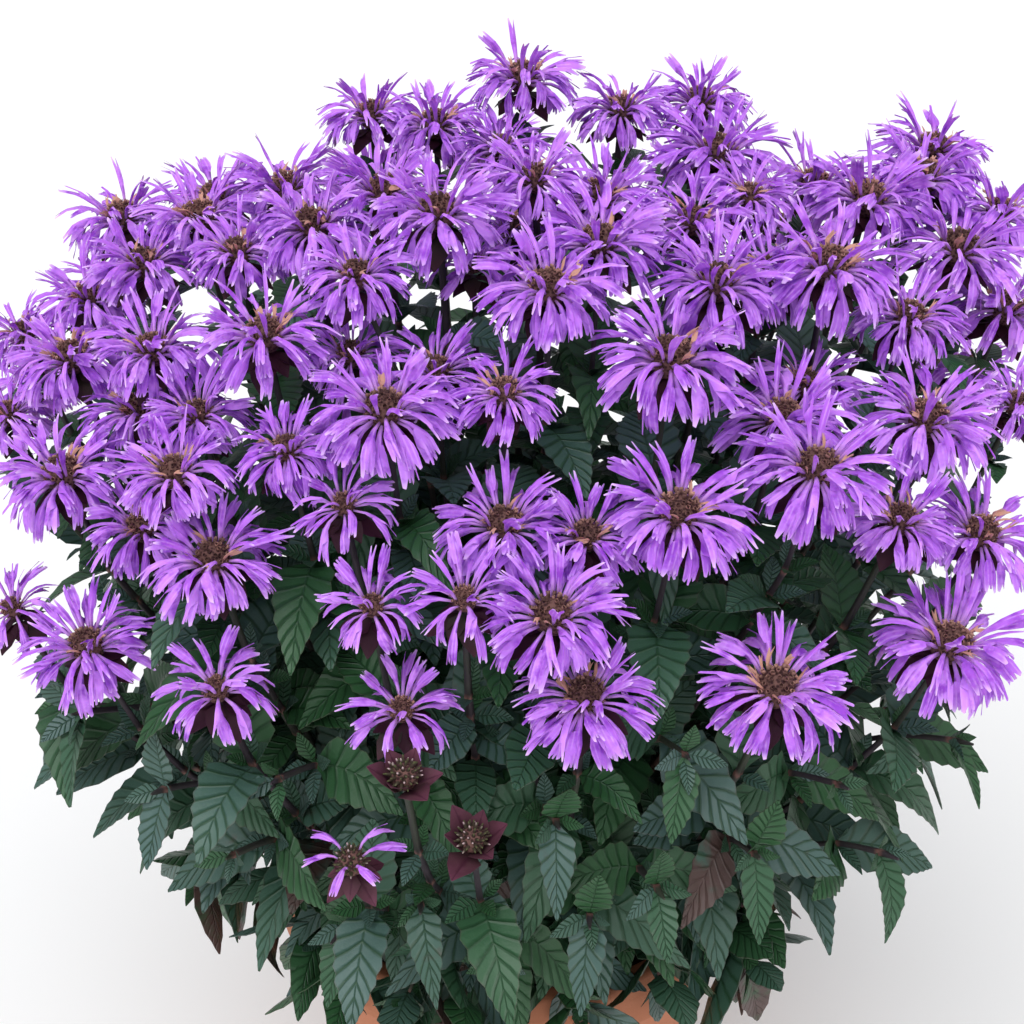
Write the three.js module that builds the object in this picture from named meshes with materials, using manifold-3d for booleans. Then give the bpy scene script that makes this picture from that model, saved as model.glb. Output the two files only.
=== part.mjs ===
// A bee balm in a plain clay pot: a domed clump of square stems, toothed leaves in crossed pairs, and
// shaggy violet flower heads over maroon bracts. Millimetres, +Z up, origin at the middle of the pot's
// underside. The front of the plant faces -Y.
import * as THREE from "three";
import { mergeVertices } from "three/addons/utils/BufferGeometryUtils.js";
import Module from "manifold-3d";

const wasm = await Module();
wasm.setup();

// Pot and soil
const potHeight = 260;
const potFootRadius = 104;
const potNeckRadius = 134; // just under the rim band
const rimRadius = 150;
const rimBandHeight = 42;
const potWall = 10;
const potFloor = 14;
const drainHoleRadius = 7;
const drainHoleCircle = 48;
const soilTop = 238;
const clearance = 0.3;

// Crowns: the woody feet at ground level that the stems rise from
const crownSide = 19.5;
const crownDepth = 22; // below the soil's surface
const crownRise = 5; // above it
const crownRings = [
  { count: 1, radius: 0, turn: 0 },
  { count: 4, radius: 42, turn: Math.PI / 4 },
  { count: 8, radius: 90, turn: -Math.PI / 2 },
];
const stemsPerCrown = 9;
const bundleSpread = 2; // how far a crown's stems lean apart, in shares of their places on it

// Stems, leaves and heads
const stemHalf = 2;
const leafBand = 3.6; // height of the petiole's root on the stem
const leafLength = 58;
const leafHalfWidth = 13;
const leafHalfThickness = 0.5;
const bractReach = 21;
const headRise = 12; // from the stem's end to the middle of a head
const headLean = 0.3; // the share of the dome's own slope that a head leans out by
const headLeast = 23;
const headMost = 36;
const mostInBunch = 4; // heads whose florets meet

// The picture: where it is taken from, and its lens in pixels
const eye = new THREE.Vector3(0, -805, 953);
const lookAt = new THREE.Vector3(0, 0, 488);
const focalPixels = 1640;
const middlePixel = 512;

// The dome that the heads stand on
const domeCentre = new THREE.Vector3(0, 30, 428);
const domeRadii = new THREE.Vector3(330, 270, 270);

// Each head as the picture shows it: across and down to its middle, its width, all in pixels, its age,
// and how far it stands behind the dome's face, in millimetres
const headsInPicture = [
  [523, 68, 104, "full", 0],
  [370, 105, 92, "full", 0],
  [435, 115, 100, "full", -15],
  [500, 138, 88, "full", 50],
  [622, 100, 95, "full", -10],
  [702, 92, 97, "full", 10],
  [718, 143, 122, "full", -30],
  [600, 187, 120, "full", 28],
  [535, 168, 100, "full", -14],
  [383, 182, 115, "full", 0],
  [438, 202, 130, "full", -22],
  [311, 215, 120, "full", 0],
  [285, 178, 108, "full", 35],
  [198, 207, 112, "full", 0],
  [120, 208, 105, "full", 0],
  [235, 242, 98, "full", 0],
  [142, 254, 105, "full", 0],
  [86, 289, 98, "full", 10],
  [356, 265, 105, "full", -15],
  [20, 325, 80, "full", 0],
  [68, 348, 112, "full", 0],
  [150, 340, 112, "full", -5],
  [263, 325, 126, "full", -10],
  [350, 345, 92, "full", 35],
  [136, 400, 110, "full", 40],
  [195, 405, 100, "full", 12],
  [59, 465, 125, "full", 0],
  [172, 463, 115, "full", -18],
  [285, 440, 98, "full", 0],
  [384, 400, 143, "full", -15],
  [436, 361, 105, "full", 30],
  [505, 383, 105, "full", 0],
  [549, 277, 133, "full", -15],
  [601, 232, 130, "full", -12],
  [512, 220, 85, "full", 45],
  [473, 252, 60, "young", 30],
  [672, 348, 148, "full", -10],
  [718, 273, 130, "full", 0],
  [694, 211, 100, "full", 25],
  [752, 186, 80, "full", 10],
  [832, 256, 138, "full", -20],
  [772, 262, 110, "full", 30],
  [815, 174, 98, "full", 22],
  [870, 190, 122, "full", -15],
  [925, 168, 115, "full", 22],
  [935, 140, 103, "full", 60],
  [1003, 203, 95, "full", 28],
  [962, 240, 132, "full", -15],
  [912, 308, 110, "full", 0],
  [1008, 300, 115, "full", 10],
  [930, 410, 132, "full", 0],
  [1020, 395, 80, "full", 15],
  [808, 375, 100, "full", 58],
  [784, 409, 132, "full", 18],
  [820, 459, 142, "full", -18],
  [680, 504, 147, "full", 0],
  [904, 511, 108, "full", 5],
  [985, 525, 120, "full", 0],
  [954, 636, 140, "full", 0],
  [779, 680, 142, "full", 0],
  [504, 516, 130, "full", 12],
  [588, 527, 108, "full", 15],
  [553, 607, 142, "full", -10],
  [586, 689, 134, "full", 0],
  [464, 590, 115, "young", -12],
  [371, 597, 96, "young", 0],
  [342, 495, 100, "young", 0],
  [211, 550, 128, "full", 0],
  [140, 518, 108, "full", 30],
  [84, 638, 116, "full", 0],
  [8, 600, 80, "young", 0],
  [214, 682, 112, "young", 0],
  [401, 702, 112, "young", 12],
  [350, 855, 80, "first", 0],
  [403, 768, 60, "bud", -18],
  [472, 832, 70, "bud", 0],
  [5, 405, 75, "full", 0],
];

// Leafy shoots without a head: across and down to their tips, in pixels
const shootsInPicture = [
  [70, 715],
  [150, 795],
  [225, 860],
  [270, 785],
  [330, 945],
  [420, 915],
  [495, 965],
  [560, 830],
  [590, 930],
  [665, 900],
  [690, 760],
  [760, 860],
  [850, 790],
  [900, 860],
  [975, 745],
];

// The far side, which the picture hides: how many heads and shoots a spiral over the dome may give it
const spiralSteps = 150;
const farHeads = 11;
const farHeadRadius = 32;
const farHeadSpacing = 74;
const farShoots = 7;
const farShootSpacing = 82;
const farShootReach = new THREE.Vector3(0.86, 0.9, 1); // a share of the dome's own

// One seeded stream of draws between 0 and 1
let drawState = 20261;
function draw() {
  drawState = (drawState * 1664525 + 1013904223) % 4294967296;
  return drawState / 4294967296;
}

const worldUp = new THREE.Vector3(0, 0, 1);

function ahead(from, direction, distance) {
  return from.clone().addScaledVector(direction, distance);
}

function domeNormal(point) {
  return point.clone().sub(domeCentre).divide(domeRadii).divide(domeRadii).normalize();
}

// The place on the dome that a pixel shows, or the nearest to it where the line of sight passes by.
function domePoint(across, down, behind) {
  const forward = lookAt.clone().sub(eye).normalize();
  const right = new THREE.Vector3(1, 0, 0);
  const upward = right.clone().cross(forward);
  const sight = forward.clone();
  sight.addScaledVector(right, (across - middlePixel) / focalPixels);
  sight.addScaledVector(upward, (middlePixel - down) / focalPixels);
  const from = eye.clone().sub(domeCentre).divide(domeRadii);
  const along = sight.clone().divide(domeRadii);
  const a = along.dot(along);
  const b = from.dot(along);
  const c = from.dot(from) - 1;
  const reach = b * b - a * c;
  const distance = reach > 0 ? (-b - Math.sqrt(reach)) / a : -b / a;
  return ahead(eye, sight, distance + behind);
}

// The k-th place of a spiral that goes from the top of the dome to its foot.
function spiralPoint(k) {
  const height = 0.98 - (1.5 * k) / spiralSteps;
  const angle = k * Math.PI * (3 - Math.sqrt(5));
  const round = Math.sqrt(1 - height * height);
  const onBall = new THREE.Vector3(round * Math.cos(angle), round * Math.sin(angle), height);
  return onBall.multiply(domeRadii).add(domeCentre);
}

function isHidden(point) {
  return domeNormal(point).dot(eye.clone().sub(point)) < 0;
}

function isFarFrom(point, others, spacing) {
  return others.every((other) => other.middle.distanceTo(point) > spacing);
}

function headAt(middle, radius, age) {
  const axis = domeNormal(middle).multiplyScalar(headLean).add(worldUp).normalize();
  return { middle, radius, age, axis, end: ahead(middle, axis, -headRise) };
}

function placeHeads() {
  const heads = headsInPicture.map(([across, down, width, age, behind]) => {
    const middle = domePoint(across, down, behind);
    const wide = (width * middle.distanceTo(eye)) / focalPixels;
    return headAt(middle, THREE.MathUtils.clamp(wide / 2, headLeast, headMost), age);
  });
  const inPicture = heads.length;
  for (let k = 0; k < spiralSteps && heads.length < inPicture + farHeads; k += 1) {
    const point = spiralPoint(k);
    const highEnough = point.z > domeCentre.z - 40;
    if (highEnough && isHidden(point) && isFarFrom(point, heads, farHeadSpacing)) {
      heads.push(headAt(point, farHeadRadius, "full"));
    }
  }
  return heads;
}

function shootAt(middle) {
  const axis = domeNormal(middle).setZ(0.25).normalize();
  return { middle, radius: 0, age: "shoot", axis, end: middle };
}

function placeShoots(heads) {
  const shoots = shootsInPicture.map(([across, down]) => shootAt(domePoint(across, down, 20)));
  const inPicture = shoots.length;
  for (let k = 0; k < spiralSteps && shoots.length < inPicture + farShoots; k += 1) {
    const point = spiralPoint(k).multiply(farShootReach);
    const low = point.z < domeCentre.z - 40 && point.z > soilTop + 30;
    const clear = isFarFrom(point, [...heads, ...shoots], farShootSpacing);
    if (low && isHidden(point) && clear) {
      shoots.push(shootAt(point));
    }
  }
  return shoots;
}

function placeCrowns() {
  const crowns = [];
  for (const { count, radius, turn } of crownRings) {
    for (let i = 0; i < count; i += 1) {
      const angle = turn + (i * 2 * Math.PI) / count;
      const foot = new THREE.Vector3(radius * Math.cos(angle), radius * Math.sin(angle), soilTop);
      crowns.push({ foot });
    }
  }
  return crowns;
}

// Gives every stem to the nearest crown with room, nearest pairs first, and then swaps stems between crowns
// wherever that brings them nearer. A stem's top is drawn in towards the pot's middle for this, so that a
// crown's stems spread out as a bundle does.
function shareStems(tops, crowns) {
  const drawnIn = 0.33;
  const far = tops.map((top) => {
    const low = 1 + Math.max(0, (domeCentre.z - top.end.z) / 300);
    const wanted = top.end.clone().multiplyScalar(drawnIn * low).setZ(soilTop);
    return crowns.map((crown) => wanted.distanceToSquared(crown.foot));
  });
  const pairs = far.flatMap((row, t) => row.map((squared, c) => ({ t, c, squared })));
  pairs.sort((p, q) => p.squared - q.squared || p.t - q.t || p.c - q.c);
  const placesLeft = crowns.map(() => stemsPerCrown);
  for (const { t, c } of pairs) {
    if (tops[t].crown === undefined && placesLeft[c] > 0) {
      tops[t].crown = c;
      placesLeft[c] -= 1;
    }
  }
  let swaps = 1;
  while (swaps > 0) {
    swaps = 0;
    for (let s = 0; s < tops.length; s += 1) {
      for (let t = s + 1; t < tops.length; t += 1) {
        const [p, q] = [tops[s].crown, tops[t].crown];
        if (far[s][q] + far[t][p] < far[s][p] + far[t][q] - 1e-6) {
          tops[s].crown = q;
          tops[t].crown = p;
          swaps += 1;
        }
      }
    }
  }
  crowns.forEach((crown, c) => {
    crown.stems = tops.filter((top) => top.crown === c);
  });
}

// The nine cells of a crown's top: the eight round its middle in order, then the middle one.
const crownCells = [
  [0, 0],
  [1, 0],
  [2, 0],
  [2, 1],
  [2, 2],
  [1, 2],
  [0, 2],
  [0, 1],
  [1, 1],
];

function flatAngle(vector) {
  return Math.atan2(vector.y, vector.x);
}

function angleApart(a, b) {
  return Math.abs(Math.atan2(Math.sin(a - b), Math.cos(a - b)));
}

// Seats a crown's stems in its cells in the order that their tops have round the bundle's middle.
function seatStems(crown) {
  const bundle = new THREE.Vector3();
  crown.stems.forEach((top) => bundle.addScaledVector(top.end, 1 / crown.stems.length));
  const spread = (top) => Math.hypot(top.end.x - bundle.x, top.end.y - bundle.y);
  const byNearness = [...crown.stems].sort((p, q) => spread(p) - spread(q));
  const [centre, ...outer] = byNearness;
  centre.cell = 8;
  outer.sort((p, q) => flatAngle(p.end.clone().sub(bundle)) - flatAngle(q.end.clone().sub(bundle)));
  const cellAngle = (cell) => ((cell - 1) * Math.PI) / 4 - Math.PI / 2;
  let best = { cost: Infinity, shift: 0 };
  const cellOf = (k, shift) => (Math.round((k * 8) / outer.length) + shift) % 8;
  for (let shift = 0; shift < 8; shift += 1) {
    const cost = outer.reduce((sum, top, k) => {
      return sum + angleApart(cellAngle(cellOf(k, shift)), flatAngle(top.end.clone().sub(bundle)));
    }, 0);
    if (cost < best.cost - 1e-9) {
      best = { cost, shift };
    }
  }
  outer.forEach((top, k) => {
    top.cell = cellOf(k, best.shift);
  });
}

function cellMiddle(crown, cell) {
  const [i, j] = crownCells[cell];
  const step = crownSide / 3;
  return crown.foot.clone().add(new THREE.Vector3((i - 1) * step, (j - 1) * step, crownRise));
}

// What is already in its place: points with the room that each needs round it
const taken = [];

function room(points, gap, owner) {
  let least = Infinity;
  for (const other of taken) {
    if (other.owner !== owner) {
      for (const point of points) {
        least = Math.min(least, point.distanceTo(other.point) - other.radius - gap);
      }
    }
  }
  return least;
}

// How far below its head, or below its tip, a stem has its pairs of leaves
function pairPlaces(top) {
  if (top.age === "shoot") {
    return [4, 44, 86];
  }
  return top.middle.z < domeCentre.z + 120 ? [52, 100] : [56];
}

// Plans a stem before it is led up: how far it turns, where its leaf pairs are, and its bends. Each stop
// is a share of the way up.
function planStem(crown, top) {
  const reach = cellMiddle(crown, top.cell).distanceTo(top.end);
  top.turn = (draw() - 0.5) * 1.4;
  top.reach = reach;
  top.pairs = pairPlaces(top).map((below, k) => ({
    t: 1 - (below + 12 * draw()) / reach,
    sides: k % 2 ? [1, 3] : [0, 2],
    rise: 0.3 + 0.5 * draw(),
    droop: 0.3 + 0.4 * draw(),
    size: (0.8 + 0.2 * draw()) * (below < 20 ? 0.6 : 1),
  }));
  top.pairs = top.pairs.filter(({ t }) => t > 0.2);
  top.stops = [0.09, ...top.pairs.map((pair) => pair.t), 1].sort((p, q) => p - q);
}

// Points along the stem as it is built, straight from stop to stop
function pointsAlong(curve, stops, spacing) {
  const points = [];
  let from = curve.v0;
  for (const stop of stops) {
    const to = curve.getPoint(stop);
    const count = Math.ceil(from.distanceTo(to) / spacing);
    for (let k = 1; k <= count; k += 1) {
      points.push(from.clone().lerp(to, k / count));
    }
    from = to;
  }
  return points;
}

// A stem's shape: the shares of its reach that it rises straight at its foot and its end, and the share of
// its way across that it has already at the first of these
const riseAtFoot = 0.3;
const riseAtEnd = 0.34;
const earlyLean = 0.35;

function stemCurve(crown, top, bend) {
  const from = cellMiddle(crown, top.cell);
  const reach = from.distanceTo(top.end);
  const arrive = ahead(top.end, top.axis, -riseAtEnd * reach).add(bend);
  const outward = arrive.clone().sub(from).setZ(0).multiplyScalar(earlyLean);
  outward.addScaledVector(from.clone().sub(crown.foot).setZ(0), bundleSpread);
  const rise = ahead(from, worldUp, riseAtFoot * reach).add(outward);
  return new THREE.CubicBezierCurve3(from, rise, arrive, top.end);
}

const stemBends = [0, 12, 24, 38, 54, 72];
const bendTurns = 12;
const stemRoom = 3; // radius kept free along a stem
const stemGap = 3.6; // and the gap that the next stem keeps from that
const pointSpacing = 5;
const pointsAtFoot = 4; // where the stems of a crown stand close

// Bends a stem aside, first a little and then more, until it passes clear of what stands before it.
function routeStem(crown, top) {
  let best = { left: -Infinity };
  for (const push of stemBends) {
    for (let k = 0; k < (push ? bendTurns : 1); k += 1) {
      const angle = (k * 2 * Math.PI) / bendTurns;
      const bend = new THREE.Vector3(Math.cos(angle), Math.sin(angle), 0);
      const curve = stemCurve(crown, top, bend.multiplyScalar(push));
      const points = pointsAlong(curve, top.stops, pointSpacing);
      const left = room(points.slice(pointsAtFoot), stemGap, top);
      if (left > best.left + 1e-6) {
        best = { left, curve, points };
      }
      if (best.left > 0) {
        break;
      }
    }
    if (best.left > 0) {
      break;
    }
  }
  top.curve = best.curve;
  best.points.forEach((point) => taken.push({ point, radius: stemRoom, owner: top }));
}

const heads = placeHeads();
const shoots = placeShoots(heads);
const tops = [...heads, ...shoots];
const crowns = placeCrowns();
shareStems(tops, crowns);
crowns.forEach(seatStems);

for (const head of heads) {
  const core = ahead(head.middle, head.axis, -2);
  taken.push({ point: core, radius: 0.62 * head.radius, owner: head });
}

crowns.forEach((crown) => crown.stems.forEach((top) => planStem(crown, top)));
crowns.forEach((crown) => crown.stems.forEach((top) => routeStem(crown, top)));
const stemPoints = taken.filter((other) => other.owner.curve && other.radius === stemRoom);

// The room round a head is a cell: flat walls between it and each neighbour, which no floret crosses.
function wallsOf(head) {
  const near = heads.filter((other) => {
    const apart = other.middle.distanceTo(head.middle);
    return other !== head && apart < head.radius + other.radius + 12;
  });
  return near.map((other) => {
    const normal = other.middle.clone().sub(head.middle);
    const share = head.radius / (head.radius + other.radius);
    const limit = normal.length() * share - 0.6;
    return { normal: normal.normalize(), limit };
  });
}

for (const head of heads) {
  head.walls = wallsOf(head);
  head.passing = stemPoints.filter((other) => {
    return other.owner !== head && other.point.distanceTo(head.middle) < head.radius + 14;
  });
}

// The share of the way from one point to another that stays in the head's cell and clear of passing stems.
function shareInCell(head, from, to, gap) {
  const way = to.clone().sub(from);
  let share = 1;
  for (const { normal, limit } of head.walls) {
    const start = normal.dot(from.clone().sub(head.middle));
    const gain = normal.dot(way);
    if (start + gain > limit) {
      share = Math.min(share, Math.max(0.12, (limit - start) / gain));
    }
  }
  const clearAt = (part) => {
    const point = ahead(from, way, part);
    return head.passing.every((other) => other.point.distanceTo(point) > stemRoom + gap);
  };
  while (share > 0.3 && !(clearAt(share) && clearAt(share * 0.75) && clearAt(share * 0.5))) {
    share -= 0.08;
  }
  return share;
}

// A closed surface under construction: its points, and its triangles as triples of indices
function newSkin() {
  return { points: [], faces: [] };
}

function addPoint(skin, point) {
  skin.points.push(point);
  return skin.points.length - 1;
}

// Triangles from one point to each edge of a closed outline
function fan(skin, hub, outline) {
  outline.forEach((corner, i) => skin.faces.push([hub, corner, outline[(i + 1) % outline.length]]));
}

function bridgeRings(skin, lower, upper, openSides = []) {
  for (let i = 0; i < lower.length; i += 1) {
    const next = (i + 1) % lower.length;
    if (!openSides.includes(i)) {
      skin.faces.push([lower[i], lower[next], upper[next]], [lower[i], upper[next], upper[i]]);
    }
  }
}

// The stem's own directions at t: along it, and across it to its flat sides
function stemFrame(top, t, along = top.curve.getTangent(t)) {
  const turn = top.turn * Math.min(1, t / 0.2);
  const across = new THREE.Vector3(Math.cos(turn), Math.sin(turn), 0);
  across.addScaledVector(along, -across.dot(along)).normalize();
  return { middle: top.curve.getPoint(t), along, across, over: along.clone().cross(across) };
}

function stemRing(skin, top, t, half) {
  const { middle, across, over } = stemFrame(top, t);
  const corners = [
    [-1, -1],
    [1, -1],
    [1, 1],
    [-1, 1],
  ];
  return corners.map(([a, b]) => addPoint(skin, ahead(ahead(middle, across, a * half), over, b * half)));
}

// A leaf springs from one flat side of its stem, rises a little and droops under its own weight.
function leafAt(top, t, side, yaw, size, { rise, droop }) {
  const { middle, along, across, over } = stemFrame(top, t);
  const sideways = [over.clone().negate(), across, over, across.clone().negate()][side].clone();
  const out = sideways.applyAxisAngle(along, yaw);
  const toSide = along.clone().cross(out);
  const way = out.clone().multiplyScalar(Math.cos(rise)).addScaledVector(along, Math.sin(rise));
  const face = way.clone().cross(toSide);
  const hang = droop * Math.hypot(way.x, way.y);
  return { base: ahead(middle, out, stemHalf), way, toSide, face, t, side, hang, size };
}

// A point of a leaf: s along its rib, w across it in half widths, lift above it
function leafPoint(leaf, s, w, lift) {
  const width = leaf.size * leafHalfWidth * w;
  const point = ahead(leaf.base, leaf.way, leaf.size * leafLength * s);
  point.addScaledVector(worldUp, -leaf.hang * leaf.size * leafLength * s * s);
  point.addScaledVector(leaf.toSide, width);
  return point.addScaledVector(leaf.face, 0.25 * Math.abs(width) + lift);
}

const leafProbes = [
  [0.3, 0.8],
  [0.48, 0.95],
  [0.66, 0.8],
  [0.84, 0.4],
];

function probesOf(leaf) {
  const points = [leafPoint(leaf, 1, 0, 0)];
  for (const [s, w] of leafProbes) {
    for (const part of [-1, -0.33, 0.33, 1]) {
      points.push(leafPoint(leaf, s, part * w, 0));
    }
  }
  return points;
}

function rootProbesOf(leaf) {
  return [-0.5, 0.5].map((w) => leafPoint(leaf, 0.14, w, 0));
}

function clearOfPot(point) {
  const out = Math.hypot(point.x, point.y);
  const floor = out > rimRadius - potWall - 8 ? potHeight + 5 : soilTop + 8;
  return out > rimRadius + 6 ? point.z > 150 : point.z > floor;
}

const leafRoom = 4.9;
const smallestLeaf = 0.5; // of the full length

// The first way to hold a leaf that is clear of all that stands round it, or none
function fitLeaf(top, t, side, shape) {
  for (const shrink of [1, 0.85, 0.7].filter((part) => part * shape.size > smallestLeaf)) {
    for (const yaw of [0, 0.3, -0.3, 0.55, -0.55]) {
      const leaf = leafAt(top, t, side, yaw, shape.size * shrink, shape);
      const probes = probesOf(leaf);
      const rootProbes = rootProbesOf(leaf);
      const clear = room(probes, leafRoom) > 0 && room(rootProbes, leafRoom, top) > 0;
      if (clear && probes.every(clearOfPot)) {
        [...probes, ...rootProbes].forEach((point) => taken.push({ point, radius: leafRoom, owner: leaf }));
        return leaf;
      }
    }
  }
  return null;
}

function growLeaves(top) {
  top.leaves = [];
  for (const pair of top.pairs) {
    for (const side of pair.sides) {
      const leaf = fitLeaf(top, pair.t, side, pair);
      if (leaf) {
        top.leaves.push(leaf);
      }
    }
  }
}

for (const other of taken) {
  if (!other.owner.curve || other.radius !== stemRoom) {
    other.radius = other.owner.radius;
  }
}
[...shoots, ...heads].forEach(growLeaves);

// One leaf out of a flat side of the stem: a thin blade with a waved edge, folded along its rib.
// corners are the four of the opening: low left, low right, high right, high left.
function leafBlade(skin, leaf, corners) {
  const [lowLeft, lowRight, highRight, highLeft] = corners;
  const edge = [
    [0.3, 0.95, 1.2],
    [0.68, 0.8, -1.2],
  ];
  const edgePoints = (sign) => edge.map(([s, w, lift]) => addPoint(skin, leafPoint(leaf, s, sign * w, lift)));
  const left = edgePoints(-1);
  const right = edgePoints(1);
  const tip = addPoint(skin, leafPoint(leaf, 1, 0, 0));
  const ribTop = addPoint(skin, leafPoint(leaf, 0.5, 0, leafHalfThickness));
  const ribUnder = addPoint(skin, leafPoint(leaf, 0.5, 0, -leafHalfThickness));
  fan(skin, ribTop, [tip, right[1], right[0], highRight, highLeft, left[0], left[1]]);
  fan(skin, ribUnder, [tip, left[1], left[0], lowLeft, lowRight, right[0], right[1]]);
  skin.faces.push([lowRight, highRight, right[0]], [highLeft, lowLeft, left[0]]);
}

// The whorl of bracts on a stem's end, as one star that hangs down at its tips: two crossed pairs under
// an open head, and six under a bud, which stands on them as a low dome.
function bractWhorl(skin, top, ring) {
  const { along, across, over } = stemFrame(top, 1, top.axis);
  const size = top.age === "bud" ? 1.2 : top.radius / 30;
  const at = (reach, angle, height) => {
    const point = ahead(top.end, across, reach * Math.cos(angle));
    return point.addScaledVector(over, reach * Math.sin(angle)).addScaledVector(along, height);
  };
  const count = top.age === "bud" ? 12 : 8;
  const angleOf = (i) => (-3 * Math.PI) / 4 + (i * 2 * Math.PI) / count;
  const outline = [];
  for (let i = 0; i < count; i += 1) {
    const isTip = i % 2 === 0;
    const wanted = isTip ? at(size * bractReach, angleOf(i), -8) : at(size * 0.66 * bractReach, angleOf(i), -3.5);
    const from = at(2, angleOf(i), -2);
    outline.push(addPoint(skin, from.clone().lerp(wanted, shareInCell(top, from, wanted, 1))));
  }
  for (let i = 0; i < 4; i += 1) {
    const first = (i * count) / 4;
    const last = (first + count / 4) % count;
    for (let k = first; k < first + count / 4; k += 1) {
      skin.faces.push([ring[i], outline[(k + 1) % count], outline[k]]);
    }
    skin.faces.push([ring[i], ring[(i + 1) % 4], outline[last]]);
  }
  if (top.age !== "bud") {
    fan(skin, addPoint(skin, top.end), outline);
    return;
  }
  const shoulder = outline.map((_, i) => addPoint(skin, at(8.5, angleOf(i), 5)));
  bridgeRings(skin, outline, shoulder);
  fan(skin, addPoint(skin, at(0, 0, 13)), shoulder);
}

// A square stem from its cell of the crown to its head, or to the tip of a shoot
function stemSkin(skin, top, cell) {
  const bandHalf = leafBand / 2 / top.reach;
  let ring = cell;
  for (const t of top.stops.slice(0, -1)) {
    const leaves = top.leaves.filter((leaf) => leaf.t === t);
    const low = stemRing(skin, top, leaves.length ? t - bandHalf : t, stemHalf);
    bridgeRings(skin, ring, low);
    ring = low;
    if (leaves.length) {
      ring = stemRing(skin, top, t + bandHalf, stemHalf);
      bridgeRings(skin, low, ring, leaves.map((leaf) => leaf.side));
    }
    for (const leaf of leaves) {
      const next = (leaf.side + 1) % 4;
      leafBlade(skin, leaf, [low[leaf.side], low[next], ring[next], ring[leaf.side]]);
    }
  }
  const last = stemRing(skin, top, top.age === "shoot" ? 1 : 1 - 4.5 / top.reach, stemHalf);
  bridgeRings(skin, ring, last);
  if (top.age === "shoot") {
    skin.faces.push([last[0], last[1], last[2]], [last[0], last[2], last[3]]);
  } else {
    bractWhorl(skin, top, last);
  }
}

// A crown with all its stems: one closed skin. Its top is a grid of three by three cells, and each stem
// goes up out of one of them.
function crownSkin(crown) {
  const skin = newSkin();
  const grid = [];
  for (let j = 0; j < 4; j += 1) {
    for (let i = 0; i < 4; i += 1) {
      const offset = new THREE.Vector3((i / 3 - 0.5) * crownSide, (j / 3 - 0.5) * crownSide, crownRise);
      grid.push(addPoint(skin, crown.foot.clone().add(offset)));
    }
  }
  const under = [
    [-1, -1],
    [1, -1],
    [1, 1],
    [-1, 1],
  ].map(([a, b]) => {
    const offset = new THREE.Vector3((a * crownSide) / 2, (b * crownSide) / 2, -crownDepth);
    return addPoint(skin, crown.foot.clone().add(offset));
  });
  const sides = [
    [0, 1, 2, 3],
    [3, 7, 11, 15],
    [15, 14, 13, 12],
    [12, 8, 4, 0],
  ];
  sides.forEach((side, i) => {
    const top = side.map((k) => grid[k]);
    skin.faces.push([under[i], under[(i + 1) % 4], top[3]], [under[i], top[3], top[2]]);
    skin.faces.push([under[i], top[2], top[1]], [under[i], top[1], top[0]]);
  });
  skin.faces.push([under[0], under[3], under[2]], [under[0], under[2], under[1]]);
  crownCells.forEach(([i, j], index) => {
    const cell = [4 * j + i, 4 * j + i + 1, 4 * j + i + 5, 4 * j + i + 4].map((k) => grid[k]);
    const top = crown.stems.find((stem) => stem.cell === index);
    if (top) {
      stemSkin(skin, top, cell);
    } else {
      skin.faces.push([cell[0], cell[1], cell[2]], [cell[0], cell[2], cell[3]]);
    }
  });
  return skin;
}

// Floret rings of a head, as radius and height over the stem's end, for a head 30 mm in radius
const headFoot = 0.5;
const lowRing = { radius: 8, height: 5.5 };
const midRing = { radius: 9.5, height: 12.5 };
const highRing = { radius: 6.5, height: 16 };
const discTop = 17.5;

function centreOf(skin, triple) {
  const centre = new THREE.Vector3();
  triple.forEach((index) => centre.addScaledVector(skin.points[index], 1 / 3));
  return centre;
}

// One floret drawn out of a triangle of the head's core: it widens from its root to a broad lip.
function broadFloret(skin, head, root, way, length) {
  const [single, first, second] = root;
  const middle = centreOf(skin, root);
  const sideways = skin.points[second].clone().sub(skin.points[first]).normalize();
  const end = ahead(middle, way, length);
  const half = 0.17 * length;
  const lips = [-half, half].map((offset) => ahead(end, sideways, offset));
  const share = Math.min(...lips.map((lip) => shareInCell(head, middle, lip, 2)));
  const [p, q] = lips.map((lip) => addPoint(skin, middle.clone().lerp(lip, share)));
  skin.faces.push([single, first, p], [first, second, q], [first, q, p], [second, single, q]);
  skin.faces.push([single, p, q]);
}

function narrowFloret(skin, head, root, way, length) {
  const middle = centreOf(skin, root);
  const end = ahead(middle, way, length);
  fan(skin, addPoint(skin, middle.clone().lerp(end, shareInCell(head, middle, end, 2))), root);
}

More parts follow.
